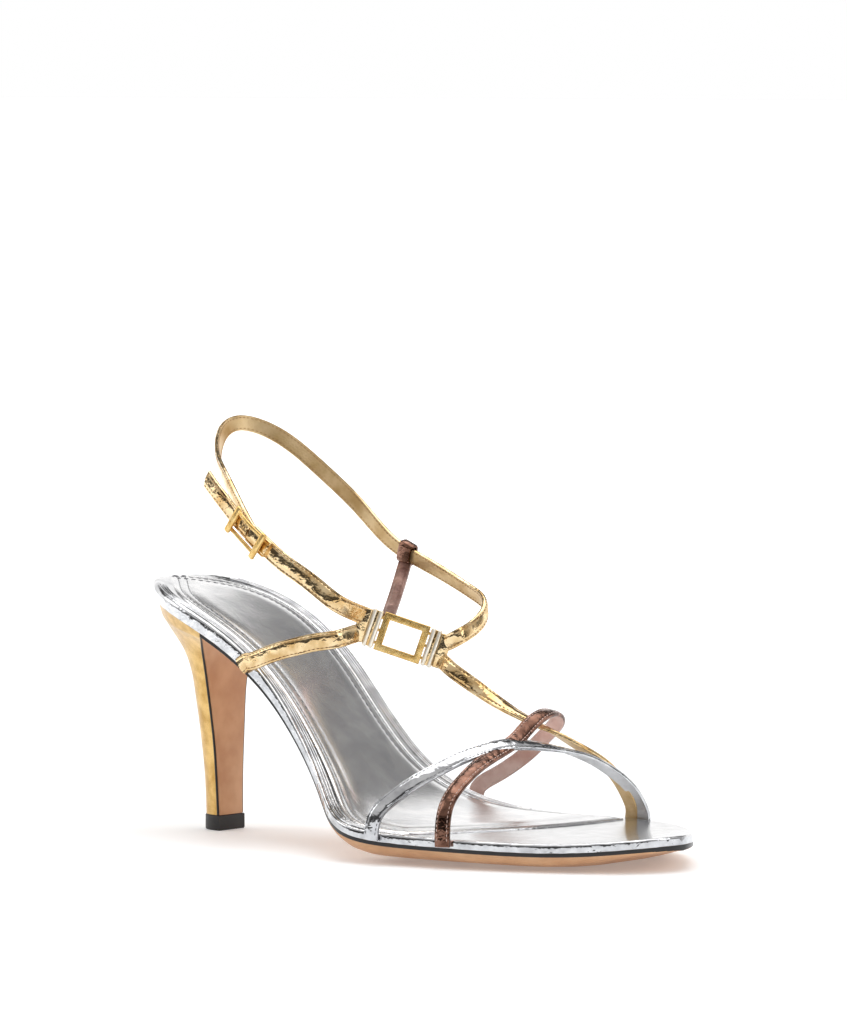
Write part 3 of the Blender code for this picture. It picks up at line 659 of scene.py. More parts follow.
# %% [markdown]
# The sock
#
# The sock is the soft satin cover that the foot touches. It is glued down a few
# millimetres inside the rim, stitched near its edge, and padded behind the stitches. Its
# height is worked out from the distance to its own edge: a quick rise at the edge, a
# groove under the stitches, a shallower groove that runs on as an oval, and the swell of
# the padding. At the back of the seat the leather is stretched, so all of it is calmer.

# %% Sock
SOCK_INSET = 4.2 * MM
SOCK_STITCH = 2.3 * MM
SOCK_OVAL = 4.9 * MM
SOCK_RISE = 0.60 * MM
STITCH_GROOVE = 0.26 * MM
OVAL_GROOVE = 0.16 * MM
PADDING = 0.60 * MM
PADDING_REACH = 9 * MM
BACK_RELIEF = 0.25
SOCK_BACK = SOCK_INSET / LENGTH
SIDE_POINTS = 140
FRONT_POINTS = 60


def sock_front(v):
    """The slanted, bowed front end of the sock as a share of the length."""
    return 0.722 + 0.052 * v - 0.030 * v * v


def sock_plan(s, v):
    """A place on the sock in plan, from its back at s = 0 to its front at s = 1."""
    along = mix(SOCK_BACK, sock_front(v), s)
    lateral, medial = half_widths((along - SOCK_BACK) / (1 - SOCK_BACK))
    width = np.where(v > 0, medial, lateral)
    width = width - SOCK_INSET * (1 - np.exp(-width / SOCK_INSET))
    return np.column_stack([along * LENGTH, swing(along) + v * width])


ends = round_stations(0.0, 0.5, SIDE_POINTS) * 2
sock_edge = np.vstack(
    [
        sock_plan(ends[::-1], np.full(SIDE_POINTS, -1.0)),
        sock_plan(ends[1:], np.full(SIDE_POINTS - 1, 1.0)),
        sock_plan(np.ones(FRONT_POINTS), np.linspace(1, -1, FRONT_POINTS)),
    ]
)


def groove(distance, place, depth, width):
    """The depth of a soft groove that lies at a place."""
    return depth * np.exp(-(((distance - place) / width) ** 2))


def sock_lift(distance, along):
    """The sock's rise over the bed, from the distance to its edge and the way along."""
    relief = mix(BACK_RELIEF, 1.0, smooth_step(along, 9 * MM, 28 * MM))
    rise = SOCK_RISE * (1 - np.exp(-distance / (0.40 * MM)))
    rise -= groove(distance, SOCK_STITCH, STITCH_GROOVE, 0.45 * MM)
    rise -= groove(distance, SOCK_OVAL, OVAL_GROOVE, 0.55 * MM)
    return relief * (rise + PADDING * smooth_step(distance, SOCK_STITCH, PADDING_REACH))


def sock_rings():
    lanes = np.sin(np.linspace(-math.pi / 2, math.pi / 2, 67))
    below = np.linspace(0.98, -0.98, 9)
    rings = []
    for s in np.minimum(round_stations(0.0012, 0.5, 230) * 2, 1.0):
        top = sock_plan(np.full(len(lanes), s), lanes)
        lift = sock_lift(plan_distance(top, sock_edge), top[:, 0])
        under = sock_plan(np.full(len(below), s), below)
        high = bed_height(top[:, 0] / LENGTH, top[:, 1]) + lift
        low = bed_height(under[:, 0] / LENGTH, under[:, 1]) - 0.1 * MM
        rings.append(np.vstack([np.column_stack([top, high]), np.column_stack([under, low])]))
    return np.array(rings)


sock_piece = loft("sock_cover", on_shoe(sock_rings()), [sock_satin])
print("sock:", len(sock_piece.data.polygons), "faces")

# %% Stitches and piping ridges round the sock
RIDGE_START = 13 * MM
RIDGE_END = 0.62 * LENGTH
LINE_LIFT = 0.04 * MM
SIDE_RIDGES = (1.6 * MM, 2.6 * MM, 3.5 * MM)
FRONT_RIDGES = (0.8 * MM, 2.0 * MM)


def plan_offset(line, distance):
    """A plan line moved sideways, to the right of its run."""
    run = np.gradient(line, axis=0)
    right = unit(np.column_stack([run[:, 1], -run[:, 0]]))
    return line + right * distance


def lay_on_bed(line, lift):
    height = bed_height(line[:, 0] / LENGTH, line[:, 1]) + lift
    return on_shoe(np.column_stack([line, height]))


side_edge = sock_edge[: 2 * SIDE_POINTS - 2]
front_edge = sock_edge[2 * SIDE_POINTS - 1 :]
rows = []
for inset, first, last in ((SOCK_STITCH, 8, 270), (SOCK_OVAL, 40, 238)):
    inner = plan_offset(side_edge, inset)[first:last]
    lift = sock_lift(plan_distance(inner, sock_edge), inner[:, 0]) + LINE_LIFT
    rows.append(lay_on_bed(inner, lift))
stitch_sizes = {"Pitch": 2.3 * MM, "Length": 1.5 * MM, "Thickness": 0.36 * MM}
sock_stitches = along_paths("sock_stitches", STITCHES, rows, silver_thread, **stitch_sizes)

rim_line = rim_outline(160)
rim_line = rim_line[rim_line[:, 0] < RIDGE_END]


def bed_ridge(distance, side):
    """A ridge inside the rim on one side of the heel, without a tight curve's loops."""
    line = plan_offset(rim_line, distance)
    kept = plan_distance(line, rim_line) > 0.97 * distance
    kept &= side * (line[:, 1] - swing(line[:, 0] / LENGTH)) > 0
    line = line[kept & (line[:, 0] > RIDGE_START)][2:-2]
    corner = edge_round(line[:, 0] / LENGTH)
    inward = np.clip(corner - distance, 0, corner)
    return lay_on_bed(line, LINE_LIFT - corner + np.sqrt(corner**2 - inward**2))


ridges = [bed_ridge(distance, side) for distance in SIDE_RIDGES for side in (-1, 1)]
for distance in FRONT_RIDGES:
    ridges.append(lay_on_bed(plan_offset(front_edge, -distance)[1:-1], LINE_LIFT / 2))
ridge_sizes = {"Step": 1.2 * MM, "Radius": 0.36 * MM}
piping = along_paths("piping_ridges", PIPING, ridges, silver_foil, **ridge_sizes)
print("sock stitches:", len(sock_stitches.data.polygons), "piping:", len(piping.data.polygons))

# %% [markdown]
# The sole
#
# The outsole is thin leather with a painted edge. Under the ball it is rounded off
# towards the floor, and behind it runs on down the front of the heel, the breast. The
# painted edge is the same solid with its own material, because paint has no thickness.

# %% Outsole with its painted edge
SOLE_EDGE = 1.1 * MM
SOLE_INSET = 0.15 * MM
SHANK_THICKNESS = 1.9 * MM
BALL_THICKNESS = 8.1 * MM
SEAT_DEPTH = 37.7 * MM
SEAT_HALF_WIDTH = 24.4 * MM
TREAD_BLEND = 2.4 * MM
# across as a share of the half width, rise as a share of the depth below the edge
UNDERSIDE = (
    (1.000, 1.00),
    (0.997, 0.90),
    (0.98, 0.74),
    (0.93, 0.50),
    (0.85, 0.32),
    (0.72, 0.19),
    (0.50, 0.06),
    (0.30, 0.00),
)


def sole_top(along):
    return rim_height(along) - board_edge(along) - GAP


def sole_bottom(along):
    """The underside: on the floor under the ball, with a soft bend where it leaves it."""
    ball = mix(SHANK_THICKNESS, BALL_THICKNESS, smooth_step(along, 0.43, 0.60))
    thickness = mix(ball, SOLE_EDGE + 2 * GAP, smooth_step(along, 0.78, 1.0))
    free = sole_top(along) - thickness
    blend = (free + TREAD_BLEND) ** 2 / (4 * TREAD_BLEND)
    return np.where(np.abs(free) < TREAD_BLEND, blend, np.maximum(0.0, free))


def sole_rings():
    shares = round_stations((SEAT_DEPTH + GAP) / LENGTH, 0.9996, 200)
    lateral, medial = (np.maximum(w - SOLE_INSET, 0.2 * MM) for w in half_widths(shares))
    middle = swing(shares)
    top = sole_top(shares)
    bottom = sole_bottom(shares)
    rings = []
    for i, along in enumerate(shares):
        x = along * LENGTH
        band = min(SOLE_EDGE, 0.7 * (top[i] - bottom[i]))
        depth = top[i] - bottom[i] - band
        ring = [(x, middle[i] - lateral[i], top[i]), (x, middle[i] + medial[i], top[i])]
        for width in (medial[i], -lateral[i]):
            half = [(x, middle[i] + a * width, bottom[i] + r * depth) for a, r in UNDERSIDE]
            ring += half if width > 0 else half[::-1]
        rings.append(ring)
    return np.array(rings)


sole_lanes = 2 + 2 * len(UNDERSIDE)
painted = [1 if lane in (1, sole_lanes - 1) else 0 for lane in range(sole_lanes)]
sole_piece = loft("sole_leather", on_shoe(sole_rings()), [sole_leather, edge_paint], painted)
for face in sole_piece.data.polygons:
    along = (face.center.x - SHIFT[0]) / LENGTH
    if (along < 0.50 or along > 0.985) and abs(face.normal.z) < 0.55:
        face.material_index = 1
print("outsole:", len(sole_piece.data.polygons), "faces")

# %% [markdown]
# The heel
#
# The heel is a moulded core: a D in section, flat in front and round behind, covered in
# gold foil leather. A turned shape can't do it, since the seat on top takes the outline
# of the foot bed and slopes with it. The loft follows the same short table of sections
# as the construction, with more rings. The breast is a slightly domed skin on its flat
# front, and dark piping stands for the paint where two leathers meet.

# %% Heel, breast, top piece and the dark lines beside them
TOP_PIECE_HEIGHT = 4.6 * MM
TOP_PIECE_LIP = 0.25 * MM
TOP_PIECE_FRONT = 0.9 * MM
BREAST_INSET = 0.25 * MM
SEAT_SHARE = 0.984
# drop, slope, back, breast and half width, as shares of the heel's height and the seat
HEEL_SECTIONS = (
    (0.000, 1.00, 0.008, 1.000, 1.000),
    (0.045, 0.81, 0.080, 0.862, 0.752),
    (0.100, 0.57, 0.190, 0.764, 0.570),
    (0.170, 0.36, 0.316, 0.711, 0.447),
    (0.260, 0.10, 0.400, 0.698, 0.382),
    (0.370, 0.00, 0.430, 0.700, 0.337),
    (0.510, 0.00, 0.460, 0.711, 0.297),
    (0.650, 0.00, 0.485, 0.719, 0.264),
    (0.810, 0.00, 0.510, 0.724, 0.240),
    (1.000, 0.00, 0.520, 0.732, 0.224),
)
HEEL_CURVE = smooth_curve(range(len(HEEL_SECTIONS)), HEEL_SECTIONS)
LAST_ROW = len(HEEL_SECTIONS) - 1
# across the breast as a share, and how far the leather stands out there
BREAST_DOME = ((0.0, 0.75), (0.25, 1.0), (0.5, 1.05), (0.75, 1.0), (1.0, 0.75))


def heel_row(t):
    """Heights in front and at the back, back, breast and half width at one table row."""
    drop, slope, back, breast, half = HEEL_CURVE(t)[0]
    seat_front = float(sole_top(SEAT_DEPTH / LENGTH)[0])
    seat_back = float(sole_top(0.0)[0])
    front = mix(seat_front, TOP_PIECE_HEIGHT + GAP / 3, drop)
    rear = front + (seat_back - seat_front) * max(slope, 0.0)
    return front, rear, back * SEAT_DEPTH, breast * SEAT_DEPTH, half * SEAT_HALF_WIDTH


def heel_ring(t, grow=0.0, height=None, sides=40):
    front, rear, back, breast, half = heel_row(t)
    seat = 1 - float(smooth_step(t, 0.0, 1.0))
    outline = 1 - float(smooth_step(t, 0.0, 3.0))
    angles = np.linspace(-math.pi / 2, math.pi / 2, sides + 1)
    x = breast - (breast - back + grow) * np.cos(angles)
    along = np.maximum(0.0, SEAT_DEPTH * (1 - np.cos(angles)) / LENGTH)
    lateral, medial = half_widths(along)
    reach = (np.where(angles > 0, medial, -lateral) + swing(along)) * SEAT_SHARE
    seated = reach * half / SEAT_HALF_WIDTH
    round_back = (half + grow) * np.sin(angles) + float(swing(SEAT_DEPTH / LENGTH))
    y = mix(round_back, seated, outline)
    under = sole_top(np.maximum(x / LENGTH, 0.0)) + GAP / 2
    z = mix(mix(front, rear, np.cos(angles)), under, seat)
    if height is not None:
        z = np.full_like(x, height)
    return np.column_stack([x, y, z])


def breast_ring(ring):
    low = ring[0] + (0, BREAST_INSET, 0)
    high = ring[-1] - (0, BREAST_INSET, 0)
    face = [mix(low, high, share) + (dome * MM, 0, 0) for share, dome in BREAST_DOME]
    return face + [p + (0.05 * MM, 0, 0) for p in (high, low)]


rows_down = np.concatenate([np.linspace(0, 4, 90), np.linspace(4, LAST_ROW, 60)[1:]])
heel_rings = np.array([heel_ring(t) for t in rows_down])
heel_piece = loft("heel_cover", on_shoe(heel_rings), [heel_foil])
breast_rings = np.array([breast_ring(ring) for ring in heel_rings])
breast_piece = loft("breast_leather", on_shoe(breast_rings), [sole_leather])

paint_lines = [
    on_shoe(heel_rings[:, column] + (0.30 * MM, side * 0.02 * MM, 0.0))
    for column, side in ((0, -1), (-1, 1))
]
paint_lines.append(on_shoe(heel_rings[0] + (0.0, 0.0, 0.10 * MM)))
line_sizes = {"Step": 0.8 * MM, "Radius": 0.34 * MM}
dark_lines = along_paths("painted_heel_lines", PIPING, paint_lines, edge_paint, **line_sizes)

# height and how far the top piece stands out there
top_levels = (
    (TOP_PIECE_HEIGHT, 0.0),
    (TOP_PIECE_HEIGHT - 0.2 * MM, TOP_PIECE_LIP),
    (0.3 * MM, TOP_PIECE_LIP),
    (0.0, 0.05 * MM),
)
top_rings = [heel_ring(LAST_ROW, grow, height) for height, grow in top_levels]
for ring, (_, grow) in zip(top_rings, top_levels):
    ring[[0, -1], 0] += TOP_PIECE_FRONT + grow
top_piece = loft("rubber_top_piece", on_shoe(top_rings), [rubber], sharp_angle=30)
print("heel:", len(heel_piece.data.polygons), "faces")

# %% [markdown]
# Straps
#
# A strap is a strip of foil leather folded over its lining, stitched along both edges.
# Its centre line is a smooth curve through a short route, given in shares of the last.
# At each step of it the strap has three directions: ahead, out of its face, and across.
# The outline below has a low dome, a groove for each row of stitches, and rounded folds.

# %% Routes: along, across, up, and how much the strap faces away from the ankle
SILVER_ROUTE = (
    (0.606, -1.00, -0.92, 0.0),
    (0.608, -1.00, 0.020, 0.0),
    (0.613, -0.99, 0.105, 0.0),
    (0.621, -0.95, 0.168, 0.0),
    (0.645, -0.85, 0.278, 0.0),
    (0.666, -0.71, 0.363, 0.0),
    (0.684, -0.54, 0.434, 0.0),
    (0.698, -0.33, 0.479, 0.0),
    (0.710, -0.11, 0.496, 0.0),
    (0.725, 0.19, 0.465, 0.0),
    (0.742, 0.47, 0.402, 0.0),
    (0.752, 0.67, 0.321, 0.0),
    (0.762, 0.84, 0.217, 0.0),
    (0.765, 0.95, 0.113, 0.0),
    (0.767, 1.00, 0.020, 0.0),
    (0.768, 1.00, -0.92, 0.0),
)
BRONZE_ROUTE = (
    (0.721, -1.00, -0.92, 0.0),
    (0.721, -1.00, 0.050, 0.0),
    (0.720, -0.95, 0.190, 0.0),
    (0.718, -0.77, 0.312, 0.0),
    (0.713, -0.51, 0.405, 0.0),
    (0.709, -0.26, 0.464, 0.0),
    (0.705, -0.03, 0.523, 0.0),
    (0.699, 0.14, 0.587, 0.0),
    (0.696, 0.31, 0.640, 0.0),
    (0.687, 0.50, 0.639, 0.0),
    (0.672, 0.65, 0.581, 0.0),
    (0.631, 0.81, 0.469, 0.0),
    (0.595, 0.91, 0.352, 0.0),
    (0.563, 0.96, 0.240, 0.0),
    (0.534, 0.99, 0.136, 0.0),
    (0.510, 1.00, 0.030, 0.0),
    (0.505, 1.00, -0.90, 0.0),
)
GOLD_ROUTE = (
    (0.558, 0.11, 0.849, 0.90),
    (0.584, 0.19, 0.784, 0.90),
    (0.612, 0.25, 0.717, 0.85),
    (0.642, 0.31, 0.647, 0.80),
    (0.674, 0.36, 0.584, 0.70),
    (0.703, 0.42, 0.524, 0.40),
    (0.727, 0.49, 0.461, 0.20),
    (0.741, 0.63, 0.379, 0.00),
    (0.747, 0.77, 0.289, 0.00),
    (0.750, 0.88, 0.184, 0.00),
    (0.750, 0.96, 0.089, 0.00),
    (0.747, 1.00, 0.026, 0.00),
    (0.744, 1.00, -0.92, 0.00),
)
SLING_ROUTE = (
    (0.559, 0.21, 1.029, 1.0),
    (0.561, 0.40, 1.075, 1.0),
    (0.559, 0.57, 1.133, 1.0),
    (0.543, 0.75, 1.188, 1.0),
    (0.503, 0.96, 1.187, 1.0),
    (0.452, 1.18, 1.132, 1.0),
    (0.388, 1.36, 0.972, 1.0),
    (0.328, 1.37, 0.819, 1.0),
    (0.264, 1.29, 0.802, 1.0),
    (0.204, 1.20, 0.834, 1.0),
    (0.142, 1.13, 0.905, 1.0),
    (0.104, 1.04, 0.948, 1.0),
    (0.083, 0.85, 0.957, 1.0),
    (0.083, 0.55, 0.928, 1.0),
    (0.107, 0.13, 0.885, 1.0),
    (0.147, -0.25, 0.850, 1.0),
    (0.201, -0.58, 0.840, 1.0),
    (0.255, -0.87, 0.824, 1.0),
)
BUCKLE_ROUTE = (
    (0.440, -0.61, 0.984, 1.0),
    (0.416, -0.78, 0.980, 1.0),
    (0.387, -0.92, 0.943, 1.0),
    (0.357, -1.05, 0.895, 1.0),
)
TAIL_ROUTE = (
    (0.259, -1.15, 0.866, 1.0),
    (0.236, -1.12, 0.887, 1.0),
    (0.221, -1.09, 0.904, 1.0),
)
WAIST_ROUTE = (
    (0.430, -0.58, 0.740, 1.0),
    (0.406, -0.75, 0.625, 1.0),
    (0.374, -0.92, 0.452, 1.0),
    (0.331, -1.01, 0.214, 1.0),
    (0.293, -1.02, 0.020, 1.0),
    (0.284, -1.00, -0.15, 1.0),
    (0.272, -1.00, -0.92, 1.0),
)
BUCKLE_AT = (0.308, -1.108, 0.845)
BUCKLE_RUN = (0.81, -0.08, -0.58)
LINK_AT = (0.485, -0.03, 0.905)
LINK_RUN = (0.751, 0.578, -0.318)
LINK_DROP = (-0.235, -0.252, -0.940)
KEEPER_SHARE = 0.315

# %% Sizes of straps and hardware
THICKNESS = 1.5 * MM
SILVER_WIDTH = 4.6 * MM
BRONZE_WIDTH = 4.8 * MM
GOLD_WIDTH = 4.6 * MM
SIDE_WIDTH = 5.4 * MM
SLING_WIDTH = 4.8 * MM
KEEPER_WIDTH = 4.2 * MM
DOME = 0.45 * MM
SILVER_DOME = 0.55 * MM
LAYER_LIFT = 0.9 * THICKNESS
TAB_LENGTH = 1.2 * MM
TAIL_TAB = 7.0 * MM
FOLD_LENGTH = 8.0 * MM
GOLD_TURN = 30 * MM
SLING_TURN = 20 * MM
SIDE_TURN = 15 * MM
TAIL_TURN = 500 * MM
LINK_LENGTH = 14.2 * MM
LINK_WIDTH = 11.8 * MM
LINK_BAR = 2.1 * MM
LINK_THICKNESS = 1.8 * MM
CLAMP_WIDTH = 1.5 * MM
CLAMP_GAP = 0.4 * MM
CLAMP_PIN = 0.9 * MM
CLAMP_THICKNESS = 2.2 * MM
CLAMP_REACH = 2 * (CLAMP_WIDTH + CLAMP_GAP)
INSTEP_LEAN = 0.60
CORE_RISE = 6 * MM
ANKLE = (0.30 * LENGTH, 2 * MM)


# %% Strap paths
def route_point(along, across, up):
    lateral, medial = (float(w[0]) for w in half_widths(along))
    reach = (medial if across > 0 else lateral) + 0.5 * MM + THICKNESS / 2
    rise = up * INSTEP_RISE if up > 0 else up * float(board_edge(along))
    y = float(swing(along)) + across * reach
    return np.array((along * LENGTH, y, float(rim_height(along)[0]) + rise))


def from_ankle(point):
    """The level way from the middle of the ankle to a point."""
    return point - np.array((*ANKLE, point[2]))


def outward(point, across, up, ankle):
    """The way that a strap's face looks at a point of its route."""
    along = point[0] / LENGTH
    core = np.array((point[0], float(swing(along)), float(rim_height(along)[0]) + CORE_RISE))
    lean = INSTEP_LEAN * (1 - float(smooth_step(across, 0.0, 0.6)))
    core[0] -= lean * max(0.0, point[2] - core[2])
    facing = unit(mix(unit(point - core), unit(from_ankle(point)), ankle))
    landed = 1 - float(smooth_step(up, 0.03, 0.30))
    if landed > 0 and abs(across) > 0.9:
        side = 1 if across > 0 else -1
        widths = [float(half_widths(along + d)[0 if side < 0 else 1][0]) for d in (-0.01, 0.01)]
        rim = unit((-(widths[1] - widths[0]) / (0.02 * LENGTH), float(side), 0.0))
        facing = unit(mix(facing, rim, landed))
    return facing


def running_sum(steps):
    return np.concatenate([[0.0], np.cumsum(steps)])


def strap_path(route, tab=(), end=(), turn=0.0, step=0.7 * MM):
    """Places along a strap with its directions and the length run so far.

    A tab at the start or the end holds the strap flat on a bar, and from there its face
    turns to the route's own over the length of the turn.
    """
    points = [route_point(*row[:3]) for row in route]
    faces = [outward(p, *row[1:]) for p, row in zip(points, route)]
    if turn > 0:
        start, facing = tab[-1]
        held = [float(smooth_step(math.dist(start, p), 0.0, turn)) for p in points]
        faces = [unit(mix(facing, own, share)) for own, share in zip(faces, held)]
    points = [p for p, _ in tab] + points + [p for p, _ in end]
    faces = [f for _, f in tab] + faces + [f for _, f in end]
    knots = running_sum([math.sqrt(math.dist(a, b)) for a, b in zip(points, points[1:])])
    place = smooth_curve(knots, points)
    facing = smooth_curve(knots, faces)
    fine = np.linspace(0, knots[-1], 1500)
    lengths = running_sum(np.linalg.norm(np.diff(place(fine), axis=0), axis=1))
    run = np.linspace(0, lengths[-1], max(3, round(lengths[-1] / step)))
    at = np.interp(run, lengths, fine)
    small = knots[-1] / 400
    ahead = unit(place(np.minimum(at + small, knots[-1])) - place(np.maximum(at - small, 0)))
    out = facing(at)
    out = unit(out - ahead * (ahead * out).sum(1, keepdims=True))
    side = np.cross(ahead, out)
    return {"place": place(at), "ahead": ahead, "out": out, "side": side, "run": run}


def link_axes():
    run = unit(LINK_RUN)
    drop = unit(np.array(LINK_DROP) - run * np.dot(run, LINK_DROP))
    return route_point(*LINK_AT), run, drop, np.cross(drop, run)


def link_tab(end, level, width):
    """Where a strap leaves the clamp bars, at the upper or the lower corner of an end."""
    middle, run, drop, out = link_axes()
    reach = LINK_LENGTH / 2 + CLAMP_REACH + 0.2 * MM
    return tuple(
        (middle + run * end * (reach + more) + drop * level * (0.46 * width + 0.1 * more), out)
        for more in (0.0, TAB_LENGTH)
    )


def buckle_axes():
    middle = route_point(*BUCKLE_AT)
    run = unit(BUCKLE_RUN)
    away = from_ankle(middle)
    out = unit(away - run * np.dot(away, run))
    return middle, run, np.cross(out, run), out


def buckle_end(side):
    middle, run, _, out = buckle_axes()
    return tuple((middle + run * side * reach, out) for reach in (TAB_LENGTH, GAP))


def tail_tab():
    """Where the sling's free end lies flat over the sling, inside the buckle."""
    middle, run, _, out = buckle_axes()
    start = middle + out * LAYER_LIFT
    return tuple((start - run * reach, out) for reach in (GAP, TAIL_TAB))


def second_layer(path, length):
    """A layer that is folded back and laid over a strap's end."""
    run = path["run"][-1] - path["run"]
    keep = np.flatnonzero(run <= length)[::-1]
    return {
        "place": path["place"][keep] + path["out"][keep] * LAYER_LIFT,
        "ahead": -path["ahead"][keep],
        "out": path["out"][keep],
        "side": -path["side"][keep],
        "run": run[keep],
    }


silver_path = strap_path(SILVER_ROUTE)
bronze_path = strap_path(BRONZE_ROUTE)
gold_path = strap_path(GOLD_ROUTE, link_tab(1, 1, GOLD_WIDTH), turn=GOLD_TURN)
sling_path = strap_path(SLING_ROUTE, link_tab(1, -1, SLING_WIDTH), buckle_end(-1), SLING_TURN)
buckle_path = strap_path(BUCKLE_ROUTE, link_tab(-1, -1, SIDE_WIDTH), buckle_end(1), SIDE_TURN)
waist_path = strap_path(WAIST_ROUTE, link_tab(-1, 1, SIDE_WIDTH), turn=SIDE_TURN)
tail_path = strap_path(TAIL_ROUTE, tail_tab(), turn=TAIL_TURN)
fold_path = second_layer(buckle_path, FOLD_LENGTH)
print("sling length:", round(sling_path["run"][-1] / MM), "mm")

# %% Strap meshes
STITCH_INSET = 0.75 * MM
GROOVE_DEPTH = 0.14 * MM
CREASE_DEPTH = 0.10 * MM
CREASE_SIZES = ((1.0, 2.3 * MM, 0), (0.5, 1.1 * MM, 5))
TIP_LENGTH = 4 * MM
FACE_LANES = 19
LINING_LANES = 6


def face_level(across, width, dome):
    """The height of a strap's domed outer face over the middle of its thickness."""
    return 0.22 * THICKNESS + dome * (1 - (2 * across / width) ** 2)


def strap_outline(width, dome):
    """Across and height of a strap's section: its face, then round its lining."""
    across = np.linspace(-0.465, 0.465, FACE_LANES) * width
    from_stitch = np.abs(np.abs(across) - (width / 2 - STITCH_INSET))
    level = face_level(across, width, dome)
    level -= groove(from_stitch, 0.0, GROOVE_DEPTH, 0.20 * MM)
    edge = ((1.0, 0.06), (1.0, -0.26), (0.93, -0.47))
    under = [(a, -0.5) for a in (0.75, 0.35, 0.0, -0.35, -0.75)]
    rest = np.array([*edge, *under, *((-a, h) for a, h in reversed(edge))])
    lining = rest * (width / 2, THICKNESS)
    return np.vstack([np.column_stack([across, level]), lining]).T


def strap(name, path, width, face, lining, dome=DOME, seed=1.0, skew=0.0):
    """A creased strip along a path. A skew cuts its far end at a slant."""
    lanes, levels = strap_outline(width, dome)
    side, out = path["side"][:, None], path["out"][:, None]
    rings = path["place"][:, None] + lanes[:, None] * side + levels[:, None] * out
    if skew:
        last = smooth_step(path["run"], path["run"].max() - TIP_LENGTH, path["run"].max())
        rings += (last[:, None, None] * lanes[None, :, None] * skew) * path["ahead"][:, None, :]
    outer = rings[:, :FACE_LANES].reshape(-1, 3)
    creases = sum(share * crumple(outer, size, seed + more) for share, size, more in CREASE_SIZES)
    folds = (creases.reshape(len(rings), FACE_LANES) * CREASE_DEPTH)[..., None]
    calm = 1 - np.abs(np.linspace(-1, 1, FACE_LANES)) ** 4
    rings[:, :FACE_LANES] += folds * calm[None, :, None] * out
    zones = [0] * len(lanes)
    zones[FACE_LANES + 2 : FACE_LANES + 2 + LINING_LANES] = [1] * LINING_LANES
    return loft(name, on_shoe(rings), [face, lining], zones)


def stitch_rows(path, width, start, stop, dome=DOME, face=1):
    """Two rows of stitches near a strap's edges, between two lengths along it."""
    offset = width / 2 - STITCH_INSET
    height = face_level(offset, width, dome) - 0.4 * GROOVE_DEPTH
    lift = height if face > 0 else -0.5 * THICKNESS - 0.05 * MM
    keep = (path["run"] > start) & (path["run"] < path["run"].max() - stop)
    middle = path["place"] + path["out"] * lift
    return [on_shoe((middle + path["side"] * side * offset)[keep]) for side in (-1, 1)]


gold_look = (gold_foil, gold_satin)
silver_strap = strap(
    "silver_vamp_strap", silver_path, SILVER_WIDTH, silver_foil, silver_satin, SILVER_DOME, 3.0
)
bronze_strap = strap(
    "bronze_vamp_strap", bronze_path, BRONZE_WIDTH, bronze_foil, pink_satin, seed=7.0
)
gold_strap = strap("gold_vamp_strap", gold_path, GOLD_WIDTH, *gold_look, seed=9.0)
sling = strap("ankle_sling", sling_path, SLING_WIDTH, *gold_look, seed=13.0)
tail = strap("sling_free_end", tail_path, SLING_WIDTH, *gold_look, seed=17.0, skew=0.42)
buckle_arm = strap("buckle_arm", buckle_path, SIDE_WIDTH, *gold_look, seed=21.0)
fold = strap("buckle_arm_fold", fold_path, SIDE_WIDTH, *gold_look, seed=22.0)
waist_arm = strap("waist_arm", waist_path, SIDE_WIDTH, *gold_look, seed=25.0)
print("sling:", len(sling.data.polygons), "faces")

# %% [markdown]
# The keeper
#
# A narrow bronze strap holds the sling's inner half up to the instep. It starts behind
# the link and ends as a loop of leather wrapped round the sling. It runs away from the
# viewer and its face looks up: a face has to be square to the run, or the strip twists.
# The loop is a band swept round a rounded rectangle, with the sling passing through it.

# %% Keeper strap and its sleeve
KEEPER_TUCK = 1.0 * MM
KEEPER_SAG = 0.6 * MM
SLEEVE_LENGTH = 4.8 * MM
SLEEVE_WALL = 0.9 * MM
# along the sling as a share of the sleeve's length, out as a share of its wall
SLEEVE_SECTION = (
    (-0.5, 0.1),
    (-0.5, 0.8),
    (-0.42, 1.0),
    (0.42, 1.0),
    (0.5, 0.8),
    (0.5, 0.1),
)


def at_run(path, share):
    i = round(share * (len(path["run"]) - 1))
    return (path[key][i] for key in ("place", "ahead", "out", "side"))


def keeper_path():
    """From behind the link's upper corner to the sleeve, facing up."""
    centre, _, _, side = at_run(sling_path, KEEPER_SHARE)
    under = side if side[2] < 0 else -side
    stop = centre + under * (SLING_WIDTH / 2 + GAP + SLEEVE_WALL / 2)
    middle, run, drop, face = link_axes()
    corner = middle - run * (LINK_LENGTH / 2 - KEEPER_WIDTH / 4)
    start = corner - drop * (LINK_WIDTH / 2 - KEEPER_TUCK) - face * LINK_THICKNESS
    up = np.array((0.0, 0.0, 1.0))
    sagging = mix(start, stop, 0.5) - up * KEEPER_SAG
    return strap_path((), ((start, up), (sagging, up)), ((stop, up),))


def sleeve_rings():
    centre, ahead, out, side = at_run(sling_path, KEEPER_SHARE)
    halves = np.array((SLING_WIDTH / 2 + GAP, THICKNESS / 2 + GAP))
    rings = []
    for angle in np.linspace(0, 2 * math.pi, 60, endpoint=False):
        reach = np.array((math.cos(angle), math.sin(angle)))
        inner = np.sign(reach) * np.abs(reach) ** 0.35 * halves
        normal = unit(reach / halves)
        ring = []
        for along, level in SLEEVE_SECTION:
            across, height = inner + normal * SLEEVE_WALL * level
            ring.append(centre + side * across + out * height + ahead * SLEEVE_LENGTH * along)
        rings.append(ring)
    return np.array(rings)


keeper = keeper_path()
keeper_strap = strap(
    "keeper_strap_leather", keeper, KEEPER_WIDTH, bronze_satin, pink_satin, seed=31.0
)
sleeve = loft("keeper_sleeve", on_shoe(sleeve_rings()), [bronze_foil], closed=True)
print("keeper length:", round(keeper["run"][-1] / MM, 1), "mm")

